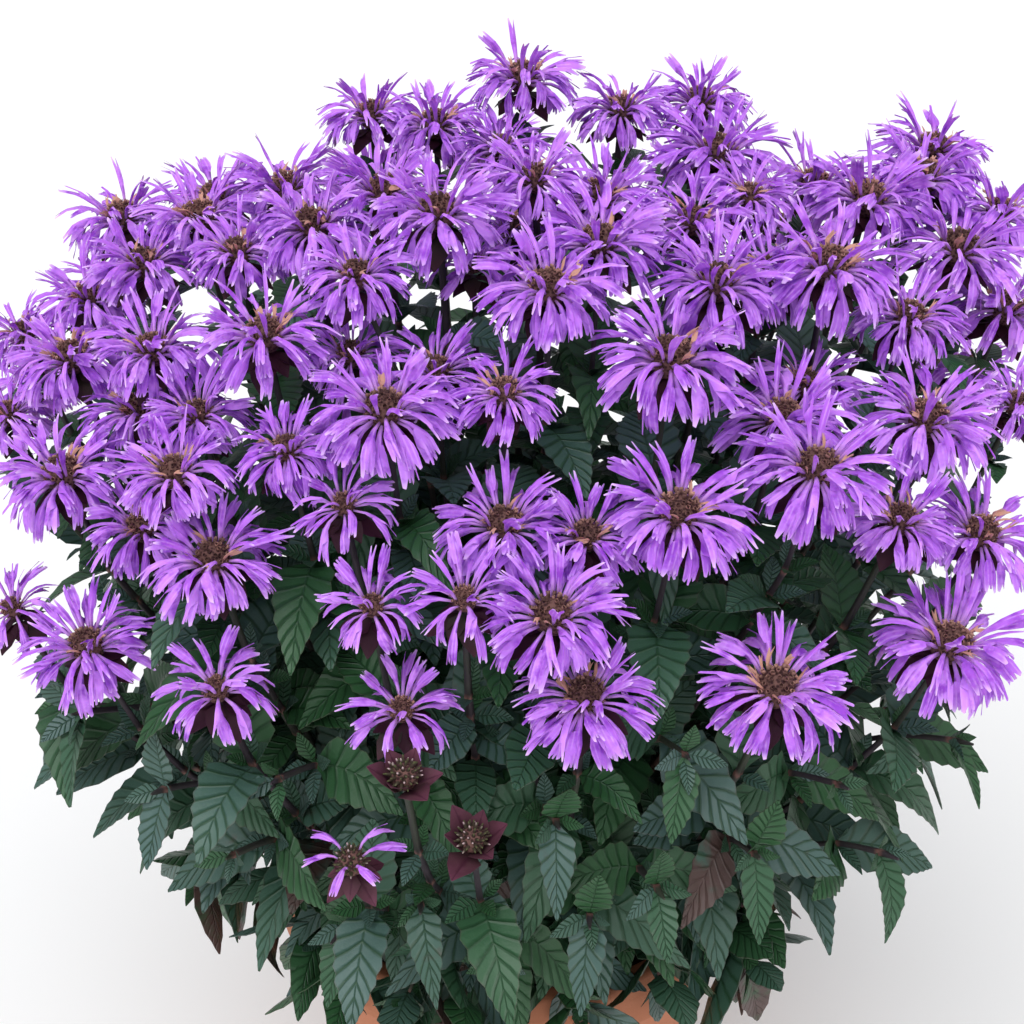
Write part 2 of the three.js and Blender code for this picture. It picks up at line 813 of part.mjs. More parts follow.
// A head: a small core whose faces are drawn out into florets, in drooping, level and upright layers.
// joins are the heads whose florets meet one of this head's own, tip to tip.
function headSkin(skin, head, joins) {
  const count = head.age === "full" && head.radius > 35 ? 6 : 5;
  const size = head.radius / 30;
  const across = new THREE.Vector3(1, 0, 0).addScaledVector(head.axis, -head.axis.x).normalize();
  const over = head.axis.clone().cross(across);
  const outAt = (angle) => across.clone().multiplyScalar(Math.cos(angle)).addScaledVector(over, Math.sin(angle));
  const ringOf = ({ radius, height }, turn) => {
    const ring = [];
    for (let i = 0; i < count; i += 1) {
      const out = outAt(((i + turn) * 2 * Math.PI) / count + head.spin);
      ring.push(addPoint(skin, ahead(ahead(head.end, out, size * radius), head.axis, height)));
    }
    return ring;
  };
  const foot = addPoint(skin, ahead(head.end, head.axis, headFoot));
  const low = ringOf(lowRing, 0);
  const mid = ringOf(midRing, 0.5);
  const high = ringOf(highRing, 0);
  const disc = addPoint(skin, ahead(head.end, head.axis, discTop));
  fan(skin, foot, [...low].reverse());
  fan(skin, disc, high);
  const roots = [];
  for (let i = 0; i < count; i += 1) {
    const next = (i + 1) % count;
    const turnOf = (part) => outAt(((i + part) * 2 * Math.PI) / count + head.spin);
    roots.push({ triple: [mid[i], low[i], low[next]], out: turnOf(0.5), fall: 0.28, kind: "drooping" });
    roots.push({ triple: [low[next], mid[next], mid[i]], out: turnOf(1), fall: -0.05, kind: "level" });
    roots.push({ triple: [mid[i], mid[next], high[next]], out: turnOf(1), fall: -1.1, kind: "upright" });
    skin.faces.push([high[i], mid[i], high[next]]);
  }
  for (const join of joins) {
    const core = coreOf(head);
    const towards = join.other.middle.clone().sub(head.middle);
    const facing = ({ triple }) => centreOf(skin, triple).sub(core).normalize().dot(towards);
    const [nearest] = roots.filter((root) => !root.joined).sort((p, q) => facing(q) - facing(p));
    nearest.joined = true;
    join.root = nearest.triple;
  }
  roots.forEach((root, k) => {
    if (root.joined) {
      return;
    }
    const way = ahead(root.out, head.axis, -root.fall).normalize();
    const missing = { full: [], young: ["level"], first: ["level", "upright"] }[head.age];
    if (missing.includes(root.kind)) {
      skin.faces.push(root.triple);
    } else if (root.kind === "upright") {
      narrowFloret(skin, head, root.triple, way, head.radius * (0.78 + 0.08 * (k % 3)));
    } else {
      broadFloret(skin, head, root.triple, way, head.radius - 8.5 * size + 2.5 * ((k % 4) - 1.5));
    }
  });
}

// Two florets of neighbouring heads that meet tip to tip: a waist between two triangles of their cores
function joinFlorets(skin, rootA, rootB) {
  const turned = [0, 1, 2].map((shift) => [0, 1, 2].map((i) => rootB[(shift - i + 3) % 3]));
  const cost = (other) => rootA.reduce((sum, a, i) => sum + skin.points[a].distanceTo(skin.points[other[i]]), 0);
  turned.sort((p, q) => cost(p) - cost(q));
  const middles = rootA.map((a, i) => skin.points[a].clone().lerp(skin.points[turned[0][i]], 0.5));
  const centre = new THREE.Vector3();
  middles.forEach((point) => centre.addScaledVector(point, 1 / 3));
  const waist = middles.map((point) => addPoint(skin, centre.clone().lerp(point, 0.3)));
  bridgeRings(skin, rootA, waist);
  bridgeRings(skin, waist, turned[0]);
}

function coreOf(head) {
  return ahead(head.end, head.axis, discTop / 2);
}

// Whether the florets of two heads can meet: nothing passes between the heads, and neither hangs so far
// under the other that its bracts are in the way.
function canMeet(a, b) {
  const from = coreOf(a);
  const way = coreOf(b).sub(from);
  const slope = (head, sign) => (sign * way.dot(head.axis)) / way.length();
  const between = [0.2, 0.35, 0.5, 0.65, 0.8].map((part) => ahead(from, way, part));
  const clear = [...a.passing, ...b.passing].every((other) => {
    return other.owner === a || other.owner === b || between.every((p) => p.distanceTo(other.point) > 8);
  });
  const open = heads.every((other) => {
    return other === a || other === b || between.every((p) => p.distanceTo(other.end) > 0.8 * other.radius);
  });
  return clear && open && slope(a, 1) > -0.3 && slope(b, -1) > -0.3;
}

// Puts each head with the neighbours that its florets touch, nearest first, until the bunches are few
// enough.
function bunchHeads(blooms, wanted) {
  const pairs = [];
  blooms.forEach((a, i) => {
    const others = blooms.slice(i + 1).filter((b) => canMeet(a, b));
    others.forEach((b) => pairs.push({ a, b, apart: a.middle.distanceTo(b.middle) }));
  });
  pairs.sort((p, q) => p.apart - q.apart);
  let bunches = blooms.map((head) => ({ heads: [head], links: [] }));
  for (const { a, b } of pairs) {
    const of = (head) => bunches.find((bunch) => bunch.heads.includes(head));
    const one = of(a);
    const two = of(b);
    const few = one.heads.length + two.heads.length <= mostInBunch;
    if (bunches.length > wanted && one !== two && few) {
      const links = [...one.links, ...two.links, { a, b }];
      bunches = bunches.filter((bunch) => bunch !== one && bunch !== two);
      bunches.push({ heads: [...one.heads, ...two.heads], links });
    }
  }
  return bunches;
}

function bunchSkin({ heads: members, links }) {
  const skin = newSkin();
  const ends = links.map(({ a, b }) => [
    { head: a, other: b },
    { head: b, other: a },
  ]);
  for (const head of members) {
    headSkin(skin, head, ends.flat().filter((end) => end.head === head));
  }
  ends.forEach(([p, q]) => joinFlorets(skin, p.root, q.root));
  return skin;
}

function geometryOfSkin({ points, faces }) {
  const geometry = new THREE.BufferGeometry();
  geometry.setAttribute("position", new THREE.Float32BufferAttribute(points.flatMap((p) => p.toArray()), 3));
  geometry.setIndex(faces.flat());
  geometry.computeVertexNormals();
  return geometry;
}

function solidOf(geometry) {
  const bare = geometry.clone();
  bare.deleteAttribute("normal");
  bare.deleteAttribute("uv");
  const merged = mergeVertices(bare, 1e-4);
  const vertProperties = merged.attributes.position.array;
  const triVerts = new Uint32Array(merged.index.array);
  return new wasm.Manifold(new wasm.Mesh({ numProp: 3, vertProperties, triVerts }));
}

function geometryOfSolid(solid) {
  const mesh = solid.getMesh();
  const geometry = new THREE.BufferGeometry();
  geometry.setAttribute("position", new THREE.BufferAttribute(mesh.vertProperties, 3));
  geometry.setIndex(new THREE.BufferAttribute(mesh.triVerts, 1));
  geometry.computeVertexNormals();
  return geometry;
}

function turned(profile, sides) {
  const outline = profile.map(([radius, height]) => new THREE.Vector2(radius, height));
  return new THREE.LatheGeometry(outline, sides).rotateX(Math.PI / 2);
}

function innerRadiusAt(height) {
  const foot = potFootRadius - potWall;
  return foot + ((rimRadius - potWall - foot) * (height - potFloor)) / (potHeight - potFloor);
}

function potGeometry() {
  const bandFoot = potHeight - rimBandHeight;
  let pot = solidOf(
    turned(
      [
        [0, 0],
        [potFootRadius - 3, 0],
        [potFootRadius, 3],
        [potNeckRadius, bandFoot],
        [rimRadius - 3, bandFoot + 1],
        [rimRadius, bandFoot + 5],
        [rimRadius, potHeight - 4],
        [rimRadius - 3, potHeight],
        [rimRadius - potWall + 2, potHeight],
        [rimRadius - potWall, potHeight - 3],
        [innerRadiusAt(potFloor), potFloor],
        [0, potFloor],
      ],
      24,
    ),
  );
  for (let i = 0; i < 3; i += 1) {
    const angle = (i * 2 * Math.PI) / 3;
    const drill = new THREE.CylinderGeometry(drainHoleRadius, drainHoleRadius, 3 * potFloor, 8);
    drill.rotateX(Math.PI / 2);
    drill.translate(drainHoleCircle * Math.cos(angle), drainHoleCircle * Math.sin(angle), potFloor / 2);
    pot = pot.subtract(solidOf(drill));
  }
  return geometryOfSolid(pot);
}

function soilGeometry() {
  const side = (height) => innerRadiusAt(height) - clearance;
  let soil = solidOf(
    turned(
      [
        [0, potFloor + clearance],
        [side(potFloor) - 1, potFloor + clearance],
        [side(soilTop - 4) - 0.5, soilTop - 4],
        [side(soilTop) - 10, soilTop],
        [0, soilTop],
      ],
      20,
    ),
  );
  for (const { foot } of crowns) {
    const holeSide = crownSide + 2 * clearance;
    const hole = new THREE.BoxGeometry(holeSide, holeSide, 2 * (crownDepth + clearance));
    hole.translate(foot.x, foot.y, soilTop);
    soil = soil.subtract(solidOf(hole));
  }
  return geometryOfSolid(soil);
}

function finish(name, geometry, color, roughness) {
  const material = new THREE.MeshStandardMaterial({ color, roughness, metalness: 0 });
  const mesh = new THREE.Mesh(geometry, material);
  mesh.name = name;
  return mesh;
}

const clay = 0xb5694a;
const earth = 0x2e231b;
const leafGreen = 0x2f4f3d;
const violet = 0xa86be0;
const mostNodes = 60;

heads.forEach((head) => {
  head.spin = draw() * Math.PI;
});
const plant = new THREE.Group();
plant.add(finish("pot", potGeometry(), clay, 0.85));
plant.add(finish("soil", soilGeometry(), earth, 0.95));
crowns.forEach((crown, i) => {
  const name = `leafy_stems_${String(i + 1).padStart(2, "0")}`;
  plant.add(finish(name, geometryOfSkin(crownSkin(crown)), leafGreen, 0.6));
});
const blooms = heads.filter((head) => head.age !== "bud");
bunchHeads(blooms, mostNodes - plant.children.length).forEach((bunch, i) => {
  const name = `blooms_${String(i + 1).padStart(2, "0")}`;
  plant.add(finish(name, geometryOfSkin(bunchSkin(bunch)), violet, 0.5));
});

export default plant;
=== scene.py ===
from itertools import count as counting
from math import atan2, ceil, cos, exp, floor, hypot, inf, pi, radians, sin, sqrt
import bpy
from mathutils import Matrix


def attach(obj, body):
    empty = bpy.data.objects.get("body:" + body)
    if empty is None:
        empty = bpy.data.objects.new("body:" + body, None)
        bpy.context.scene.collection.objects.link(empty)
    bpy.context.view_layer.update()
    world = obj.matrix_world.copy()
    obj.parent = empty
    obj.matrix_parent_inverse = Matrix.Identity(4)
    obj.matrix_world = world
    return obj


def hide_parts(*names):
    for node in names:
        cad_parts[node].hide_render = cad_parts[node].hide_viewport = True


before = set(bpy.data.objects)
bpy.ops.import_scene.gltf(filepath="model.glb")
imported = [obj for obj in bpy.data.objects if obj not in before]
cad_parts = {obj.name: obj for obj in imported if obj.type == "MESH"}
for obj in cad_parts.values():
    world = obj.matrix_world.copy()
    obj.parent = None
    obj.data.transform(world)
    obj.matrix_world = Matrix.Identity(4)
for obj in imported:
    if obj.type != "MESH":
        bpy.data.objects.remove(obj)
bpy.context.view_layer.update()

from types import SimpleNamespace

import bmesh
import bpy
import numpy as np
from mathutils import Matrix, Vector, kdtree, noise
from numpy.linalg import norm


# Camera and studio. The clump is seen from the front and 30 degrees above, about a metre away, as the
# picture shows it, so most of the pot falls below the frame. The floor is plain and pale, the light soft.
millimetre = 0.001
eye = np.array([0.0, -805.0, 953.0])
look_at = np.array([0.0, 0.0, 488.0])
focal_pixels = 1640.0
middle_pixel = 512.0
sensor_width = 36.0


def put_in(name, data):
    """Links a camera, a lamp or a mesh into the scene, at the origin."""
    thing = bpy.data.objects.new(name, data)
    bpy.context.collection.objects.link(thing)
    return thing


def aim(thing, place, way):
    thing.location = place
    thing.rotation_euler = Vector(way).to_track_quat("-Z", "Y").to_euler()


camera = put_in("camera", bpy.data.cameras.new("camera"))
camera.data.sensor_width = sensor_width
camera.data.lens = sensor_width * focal_pixels / (2 * middle_pixel)
camera.data.clip_end = 50.0
aim(camera, Vector(eye) * millimetre, look_at - eye)
bpy.context.scene.camera = camera
bpy.context.scene.view_settings.view_transform = "Standard"

for name, place, power, spread in (
    ("key_light", (-0.7, -1.3, 2.6), 2.3, 1.1),
    ("fill_light", (1.6, -1.2, 1.3), 0.5, 1.4),
):
    lamp = bpy.data.lights.new(name, "SUN")
    lamp.energy, lamp.angle = power, spread
    aim(put_in(name, lamp), place, -Vector(place))
sky = bpy.data.worlds.new("studio_air")
sky.use_nodes = True
air = sky.node_tree.nodes["Background"].inputs
air["Color"].default_value = (0.95, 0.97, 1.0, 1.0)
air["Strength"].default_value = 0.5
bpy.context.scene.world = sky


class Finish:
    """A material under construction: its surface, and short ways to add nodes to it."""

    def __init__(self, name, roughness, shine=0.5):
        self.material = bpy.data.materials.new(name)
        self.material.use_nodes = True
        self.nodes = self.material.node_tree.nodes
        self.surface = self.nodes["Principled BSDF"].inputs
        self.surface["Roughness"].default_value = roughness
        self.surface["Specular IOR Level"].default_value = shine

    def join(self, source, socket):
        """Joins a number, a colour, a node's output, or the name of a value that the piece itself carries."""
        if isinstance(source, str):
            source = self.add("Attribute", {}, attribute_name=source).outputs["Fac"]
        if hasattr(source, "is_output"):
            self.material.node_tree.links.new(source, socket)
        elif socket.type == "RGBA":
            socket.default_value = (*source, 1.0)
        else:
            socket.default_value = source

    def add(self, kind, sources, **settings):
        node = self.nodes.new("ShaderNode" + kind)
        for name, setting in settings.items():
            setattr(node, name, setting)
        for socket, source in sources.items():
            self.join(source, node.inputs[socket])
        return node

    def place(self, stretch=(1.0, 1.0, 1.0)):
        here = self.add("TexCoord", {}).outputs["Object"]
        return self.add("Mapping", {"Vector": here, "Scale": stretch}).outputs["Vector"]

    def grain(self, scale, detail=3.0, rough=0.55, stretch=(1.0, 1.0, 1.0)):
        sources = {"Vector": self.place(stretch), "Scale": scale, "Detail": detail, "Roughness": rough}
        return self.add("TexNoise", sources).outputs["Fac"]

    def sum(self, operation, first, second=0.0):
        return self.add("Math", {0: first, 1: second}, operation=operation).outputs[0]

    def between(self, value, low, high):
        """0 where the value is at its low mark, 1 at its high mark, and a smooth step between."""
        sources = {"Value": value, "From Min": low, "From Max": high}
        return self.add("MapRange", sources, interpolation_type="SMOOTHSTEP").outputs["Result"]

    def blend(self, share, first, second):
        return self.add("Mix", {0: share, 6: first, 7: second}, data_type="RGBA").outputs[2]

    def colour(self, colour):
        self.join(colour, self.surface["Base Color"])

    def relief(self, height, depth):
        bump = self.add("Bump", {"Strength": 1.0, "Distance": depth * millimetre, "Height": height})
        self.join(bump.outputs["Normal"], self.surface["Normal"])


def mesh_of(name, shape):
    mesh = bpy.data.meshes.new(name)
    shape.to_mesh(mesh)
    shape.free()
    return mesh


floor_shape = bmesh.new()
bmesh.ops.create_grid(floor_shape, x_segments=2, y_segments=2, size=9.0)
studio_floor = put_in("studio_floor", mesh_of("studio_floor", floor_shape))
pale_floor = Finish("pale_floor", 0.9)
pale_floor.colour((0.9, 0.9, 0.9))
studio_floor.data.materials.append(pale_floor.material)


# Pot. A plain round pot with a band round its rim, turned in red clay, fired and left unglazed. The wall is
# one turned profile, closed on its middle line, and three drain holes are drilled through its floor.
pot_height = 260.0
pot_foot_radius = 104.0
pot_neck_radius = 134.0
rim_radius = 150.0
rim_band_height = 42.0
pot_wall = 10.0
pot_floor = 14.0
drain_hole_radius = 7.0
drain_hole_circle = 48.0


def level(angle):
    """A level direction, at an angle from the pot's right."""
    return np.array([cos(angle), sin(angle), 0.0])


def inner_radius_at(height):
    foot = pot_foot_radius - pot_wall
    return foot + (rim_radius - pot_wall - foot) * (height - pot_floor) / (pot_height - pot_floor)


def rounded(corners):
    """A profile with each corner (radius, height, rounding) cut to a short arc."""
    line = []
    for k, (radius, height, rounding) in enumerate(corners):
        here = np.array([radius, height])
        if rounding == 0:
            line.append(here)
            continue
        before = np.array(corners[k - 1][:2]) - here
        after = np.array(corners[k + 1][:2]) - here
        start = here + before / norm(before) * rounding
        end = here + after / norm(after) * rounding
        for share in (0.0, 0.25, 0.5, 0.75, 1.0):
            line.append((1 - share) ** 2 * start + 2 * share * (1 - share) * here + share**2 * end)
    return line


def turn(profile, steps):
    """A closed solid of revolution about the middle line of the pot."""
    shape = bmesh.new()
    points = [shape.verts.new((r * millimetre, 0.0, h * millimetre)) for r, h in profile]
    edges = [shape.edges.new(pair) for pair in zip(points, points[1:])]
    whole = {"cent": (0, 0, 0), "axis": (0, 0, 1), "angle": 2 * pi, "use_merge": True}
    bmesh.ops.spin(shape, geom=points + edges, steps=steps, **whole)
    bmesh.ops.remove_doubles(shape, verts=shape.verts[:], dist=1e-6)
    bmesh.ops.recalc_face_normals(shape, faces=shape.faces[:])
    return shape


def shade_softly(shape, sharpest=50.0):
    for face in shape.faces:
        face.smooth = True
    for edge in shape.edges:
        edge.smooth = edge.calc_face_angle(0.0) < radians(sharpest)


def settle(name, shape, finish, slot, *nodes):
    """Makes a finished piece of a shape, in the place of the nodes that it stands for."""
    bmesh.ops.recalc_face_normals(shape, faces=shape.faces[:])
    piece = put_in(name, mesh_of(name, shape))
    piece.data.materials.append(finish.material)
    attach(piece, "root")
    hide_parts(*nodes)
    return piece


band_foot = pot_height - rim_band_height
pot_corners = [
    (0.0, 0.0, 0),
    (pot_foot_radius - 1, 0.0, 3),
    (pot_neck_radius, band_foot, 2),
    (rim_radius, band_foot + 1, 4),
    (rim_radius, pot_height, 4),
    (rim_radius - pot_wall, pot_height, 3),
    (inner_radius_at(pot_floor), pot_floor, 6),
    (0.0, pot_floor, 0),
]

clay = Finish("fired_clay", 0.86)
clay_tone = clay.blend(clay.grain(16.0), (0.40, 0.135, 0.065), (0.56, 0.22, 0.115))
lime = clay.sum("MULTIPLY", clay.between(clay.grain(7.0, 6.0, 0.7), 0.56, 0.78), 0.5)
clay.colour(clay.blend(lime, clay_tone, (0.66, 0.47, 0.36)))
throwing_lines = clay.grain(30.0, 2.0, 0.5, (0.25, 0.25, 6.0))
clay.relief(clay.sum("ADD", throwing_lines, clay.sum("MULTIPLY", clay.grain(420.0), 0.5)), 0.5)

pot_shape = turn(rounded(pot_corners), 112)
shade_softly(pot_shape, 35.0)
pot = settle("clay_pot", pot_shape, clay, "clay", "pot")

drill_shape = bmesh.new()
wide, deep = drain_hole_radius * millimetre, 3 * pot_floor * millimetre
bit = {"cap_ends": True, "segments": 24, "radius1": wide, "radius2": wide, "depth": deep}
for k in range(3):
    hole = bmesh.ops.create_cone(drill_shape, **bit)
    aside = Vector(level(k * 2 * pi / 3)) * drain_hole_circle * millimetre
    bmesh.ops.translate(drill_shape, verts=hole["verts"], vec=aside)
drill = put_in("drill", mesh_of("drill", drill_shape))
holes = pot.modifiers.new("drain_holes", "BOOLEAN")
holes.object = drill
holes.solver = "EXACT"
bpy.context.view_layer.update()
drilled = bpy.data.meshes.new_from_object(pot.evaluated_get(bpy.context.evaluated_depsgraph_get()))
pot.modifiers.clear()
pot.data = drilled
bpy.data.objects.remove(drill)


# Soil. Loose dark potting soil that fills the pot to just under the rim: a settled body with an uneven top,
# and crumbs that lie on it. Its side keeps a hair's breadth from the wall.
soil_top = 238.0
clearance = 0.3
soil_side = inner_radius_at(soil_top) - clearance - 2
soil_rings = [(soil_side * (1 - k / 16), soil_top) for k in range(17)]
soil_profile = [
    (0.0, pot_floor + clearance),
    (inner_radius_at(pot_floor) - clearance - 6, pot_floor + clearance),
    (inner_radius_at(pot_floor + 8) - clearance - 1, pot_floor + 8),
    (inner_radius_at(soil_top - 6) - clearance - 1, soil_top - 6),
]
soil_shape = turn(soil_profile + soil_rings, 72)
for vertex in soil_shape.verts:
    if vertex.co.z > (soil_top - 1) * millimetre:
        lumps = noise.noise(vertex.co * 45.0) * 3.0 + noise.noise(vertex.co * 140.0) * 1.6
        vertex.co.z += (lumps - 1.0) * millimetre


def draws(state):
    """A seeded stream of numbers between 0 and 1."""
    while True:
        state = (state * 1664525 + 1013904223) % 4294967296
        yield state / 4294967296


crumb_draw = draws(311).__next__
crumbs = 420
for k in range(crumbs):
    size = (1.0 + 2.0 * crumb_draw()) * millimetre
    crumb = bmesh.ops.create_icosphere(soil_shape, subdivisions=1, radius=size)
    angle = crumb_draw() * 2 * pi
    reach = (soil_side - 4) * sqrt(crumb_draw())
    spot = Vector((reach * cos(angle), reach * sin(angle), soil_top - 0.5)) * millimetre
    squash = Vector((1.0 + 0.5 * crumb_draw(), 1.0, 0.7))
    bmesh.ops.scale(soil_shape, verts=crumb["verts"], vec=squash)
    bmesh.ops.translate(soil_shape, verts=crumb["verts"], vec=spot)
shade_softly(soil_shape)
humus = Finish("potting_soil", 0.95)
humus.colour(humus.blend(humus.grain(260.0, 5.0), (0.012, 0.008, 0.006), (0.06, 0.038, 0.026)))
humus.relief(humus.grain(500.0, 5.0), 1.2)
settle("potting_soil", soil_shape, humus, "soil", "soil")


# Stems. Square, purple-brown stems rise from thirteen woody crowns in the soil, each a bundle of up to nine,
# and lean out to the heads and to the tips of leafy shoots. They swell at the joints where leaves spring.
up = np.array([0.0, 0.0, 1.0])
dome_centre = np.array([0.0, 30.0, 428.0])
dome_radii = np.array([330.0, 270.0, 270.0])

# Each head as the picture shows it: across and down to its middle and its width, in pixels, how far it stands
# behind the dome's face, in millimetres, and its age where it isn't in full flower.
heads_in_picture = [
    (523, 68, 104, 0), (370, 105, 92, 0), (435, 115, 100, -15), (500, 138, 88, 50), (622, 100, 95, -10),
    (702, 92, 97, 10), (718, 143, 122, -30), (600, 187, 120, 28), (535, 168, 100, -14), (383, 182, 115, 0),
    (438, 202, 130, -22), (311, 215, 120, 0), (285, 178, 108, 35), (198, 207, 112, 0), (120, 208, 105, 0),
    (235, 242, 98, 0), (142, 254, 105, 0), (86, 289, 98, 10), (356, 265, 105, -15), (20, 325, 80, 0),
    (68, 348, 112, 0), (150, 340, 112, -5), (263, 325, 126, -10), (350, 345, 92, 35), (136, 400, 110, 40),
    (195, 405, 100, 12), (59, 465, 125, 0), (172, 463, 115, -18), (285, 440, 98, 0), (384, 400, 143, -15),
    (436, 361, 105, 30), (505, 383, 105, 0), (549, 277, 133, -15), (601, 232, 130, -12), (512, 220, 85, 45),
    (473, 252, 60, 30, "young"), (672, 348, 148, -10), (718, 273, 130, 0), (694, 211, 100, 25),
    (752, 186, 80, 10), (832, 256, 138, -20), (772, 262, 110, 30), (815, 174, 98, 22), (870, 190, 122, -15),
    (925, 168, 115, 22), (935, 140, 103, 60), (1003, 203, 95, 28), (962, 240, 132, -15), (912, 308, 110, 0),
    (1008, 300, 115, 10), (930, 410, 132, 0), (1020, 395, 80, 15), (808, 375, 100, 58), (784, 409, 132, 18),
    (820, 459, 142, -18), (680, 504, 147, 0), (904, 511, 108, 5), (985, 525, 120, 0), (954, 636, 140, 0),
    (779, 680, 142, 0), (504, 516, 130, 12), (588, 527, 108, 15), (553, 607, 142, -10), (586, 689, 134, 0),
    (464, 590, 115, -12, "young"), (371, 597, 96, 0, "young"), (342, 495, 100, 0, "young"),
    (211, 550, 128, 0), (140, 518, 108, 30), (84, 638, 116, 0), (8, 600, 80, 0, "young"),
    (214, 682, 112, 0, "young"), (401, 702, 112, 12, "young"), (350, 855, 80, 0, "first"),
    (403, 768, 60, -18, "bud"), (472, 832, 70, 0, "bud"), (5, 405, 75, 0),
]

# Leafy shoots without a head: across and down to their tips, in pixels.
shoots_in_picture = [
    (70, 715), (150, 795), (225, 860), (270, 785), (330, 945), (420, 915), (495, 965), (560, 830),
    (590, 930), (665, 900), (690, 760), (760, 860), (850, 790), (900, 860), (975, 745),
]

golden = 3 - sqrt(5)
spiral_steps = 150
far_heads, far_head_radius, far_head_spacing = 11, 32.0, 74.0
far_shoots, far_shoot_spacing = 7, 82.0
far_shoot_reach = np.array([0.86, 0.9, 1.0])
waist = dome_centre[2] - 40
head_least, head_most = 23.0, 36.0
head_rise = 12.0
head_lean = 0.3


def unit(vector):
    return vector / norm(vector)


def dome_normal(point):
    return unit((point - dome_centre) / dome_radii / dome_radii)


def dome_point(across, down, behind):
    """The place on the dome that a pixel shows, or the nearest to it where the line of sight passes by."""
    forward = unit(look_at - eye)
    right = level(0.0)
    sight = forward + right * ((across - middle_pixel) / focal_pixels)
    sight = sight + np.cross(right, forward) * ((middle_pixel - down) / focal_pixels)
    start = (eye - dome_centre) / dome_radii
    along = sight / dome_radii
    a, b, c = along @ along, start @ along, start @ start - 1
    reach = b * b - a * c
    distance = (-b - sqrt(reach)) / a if reach > 0 else -b / a
    return eye + sight * (distance + behind)


def spiral_point(k):
    height = 0.98 - 1.5 * k / spiral_steps
    angle = k * pi * golden
    ring = sqrt(1 - height * height)
    return np.array([ring * cos(angle), ring * sin(angle), height]) * dome_radii + dome_centre


def is_hidden(point):
    return dome_normal(point) @ (eye - point) < 0


def is_far_from(point, others, spacing):
    return all(norm(other.middle - point) > spacing for other in others)


def head_at(middle, radius, age="full"):
    axis = unit(dome_normal(middle) * head_lean + up)
    return SimpleNamespace(middle=middle, radius=radius, age=age, axis=axis, end=middle - head_rise * axis)


def shoot_at(middle):
    axis = dome_normal(middle)
    axis[2] = 0.25
    return SimpleNamespace(middle=middle, radius=0.0, age="shoot", axis=unit(axis), end=middle)


heads = []
for across, down, width, behind, *age in heads_in_picture:
    middle = dome_point(across, down, behind)
    half = width * norm(middle - eye) / focal_pixels / 2
    heads.append(head_at(middle, min(max(half, head_least), head_most), *age))
for k in range(spiral_steps):
    point = spiral_point(k)
    wanted = len(heads) < len(heads_in_picture) + far_heads and point[2] > waist
    if wanted and is_hidden(point) and is_far_from(point, heads, far_head_spacing):
        heads.append(head_at(point, far_head_radius))

shoots = [shoot_at(dome_point(across, down, 20)) for across, down in shoots_in_picture]
for k in range(spiral_steps):
    point = spiral_point(k) * far_shoot_reach
    wanted = len(shoots) < len(shoots_in_picture) + far_shoots and waist > point[2] > soil_top + 30
    if wanted and is_hidden(point) and is_far_from(point, heads + shoots, far_shoot_spacing):
        shoots.append(shoot_at(point))
tops = heads + shoots
for number, top in enumerate(tops):
    top.number = number

crown_side = 19.5
crown_rise = 5.0
stems_per_crown = 9
bundle_spread = 2.0
stem_room, stem_gap, sprig_room = 3.0, 3.6, 2.0
head_room = 0.62  # of its radius, while the stems find their ways past it
high_up = dome_centre[2] + 120
low_head_pairs, high_head_pairs, shoot_pairs = (52, 100), (56,), (4, 44, 86)
crowns = []
for count, radius, turned in ((1, 0, 0), (4, 42, pi / 4), (8, 90, -pi / 2)):
    for k in range(count):
        foot = radius * level(turned + k * 2 * pi / count) + soil_top * up
        crowns.append(SimpleNamespace(foot=foot, number=f"{len(crowns) + 1:02d}", sprigs=[]))

# Every stem goes to the nearest crown with room, nearest pairs first, and then stems are swapped between
# crowns wherever that brings them nearer. Its top is drawn in towards the pot's middle for this, so that a
# crown's stems spread out as a bundle does.
drawn_in = 0.33
far = []
for top in tops:
    low = 1 + max(0, (dome_centre[2] - top.end[2]) / 300)
    wanted = top.end * (drawn_in * low)
    wanted[2] = soil_top
    far.append([sum((wanted - crown.foot) ** 2) for crown in crowns])
pairs = [(squared, number, c) for number, row in enumerate(far) for c, squared in enumerate(row)]
places_left = [stems_per_crown] * len(crowns)
for squared, number, c in sorted(pairs):
    if not hasattr(tops[number], "crown") and places_left[c] > 0:
        tops[number].crown = c
        places_left[c] -= 1
swaps = 1
while swaps > 0:
    swaps = 0
    for s, one in enumerate(tops):
        for t in range(s + 1, len(tops)):
            p, q = one.crown, tops[t].crown
            if far[s][q] + far[t][p] < far[s][p] + far[t][q] - 1e-6:
                one.crown, tops[t].crown = q, p
                swaps += 1
for c, crown in enumerate(crowns):
    crown.stems = [top for top in tops if top.crown == c]
    crown.heads = [top for top in crown.stems if top.age != "shoot"]
planted = [top for crown in crowns for top in crown.stems]

# A crown's stems take its nine cells in the order that their tops have round the bundle's middle.
crown_cells = [(0, 0), (1, 0), (2, 0), (2, 1), (2, 2), (1, 2), (0, 2), (0, 1), (1, 1)]


def flat_angle(vector):
    return atan2(vector[1], vector[0])


def cell_of(k, count, shift):
    return (floor(k * 8 / count + 0.5) + shift) % 8


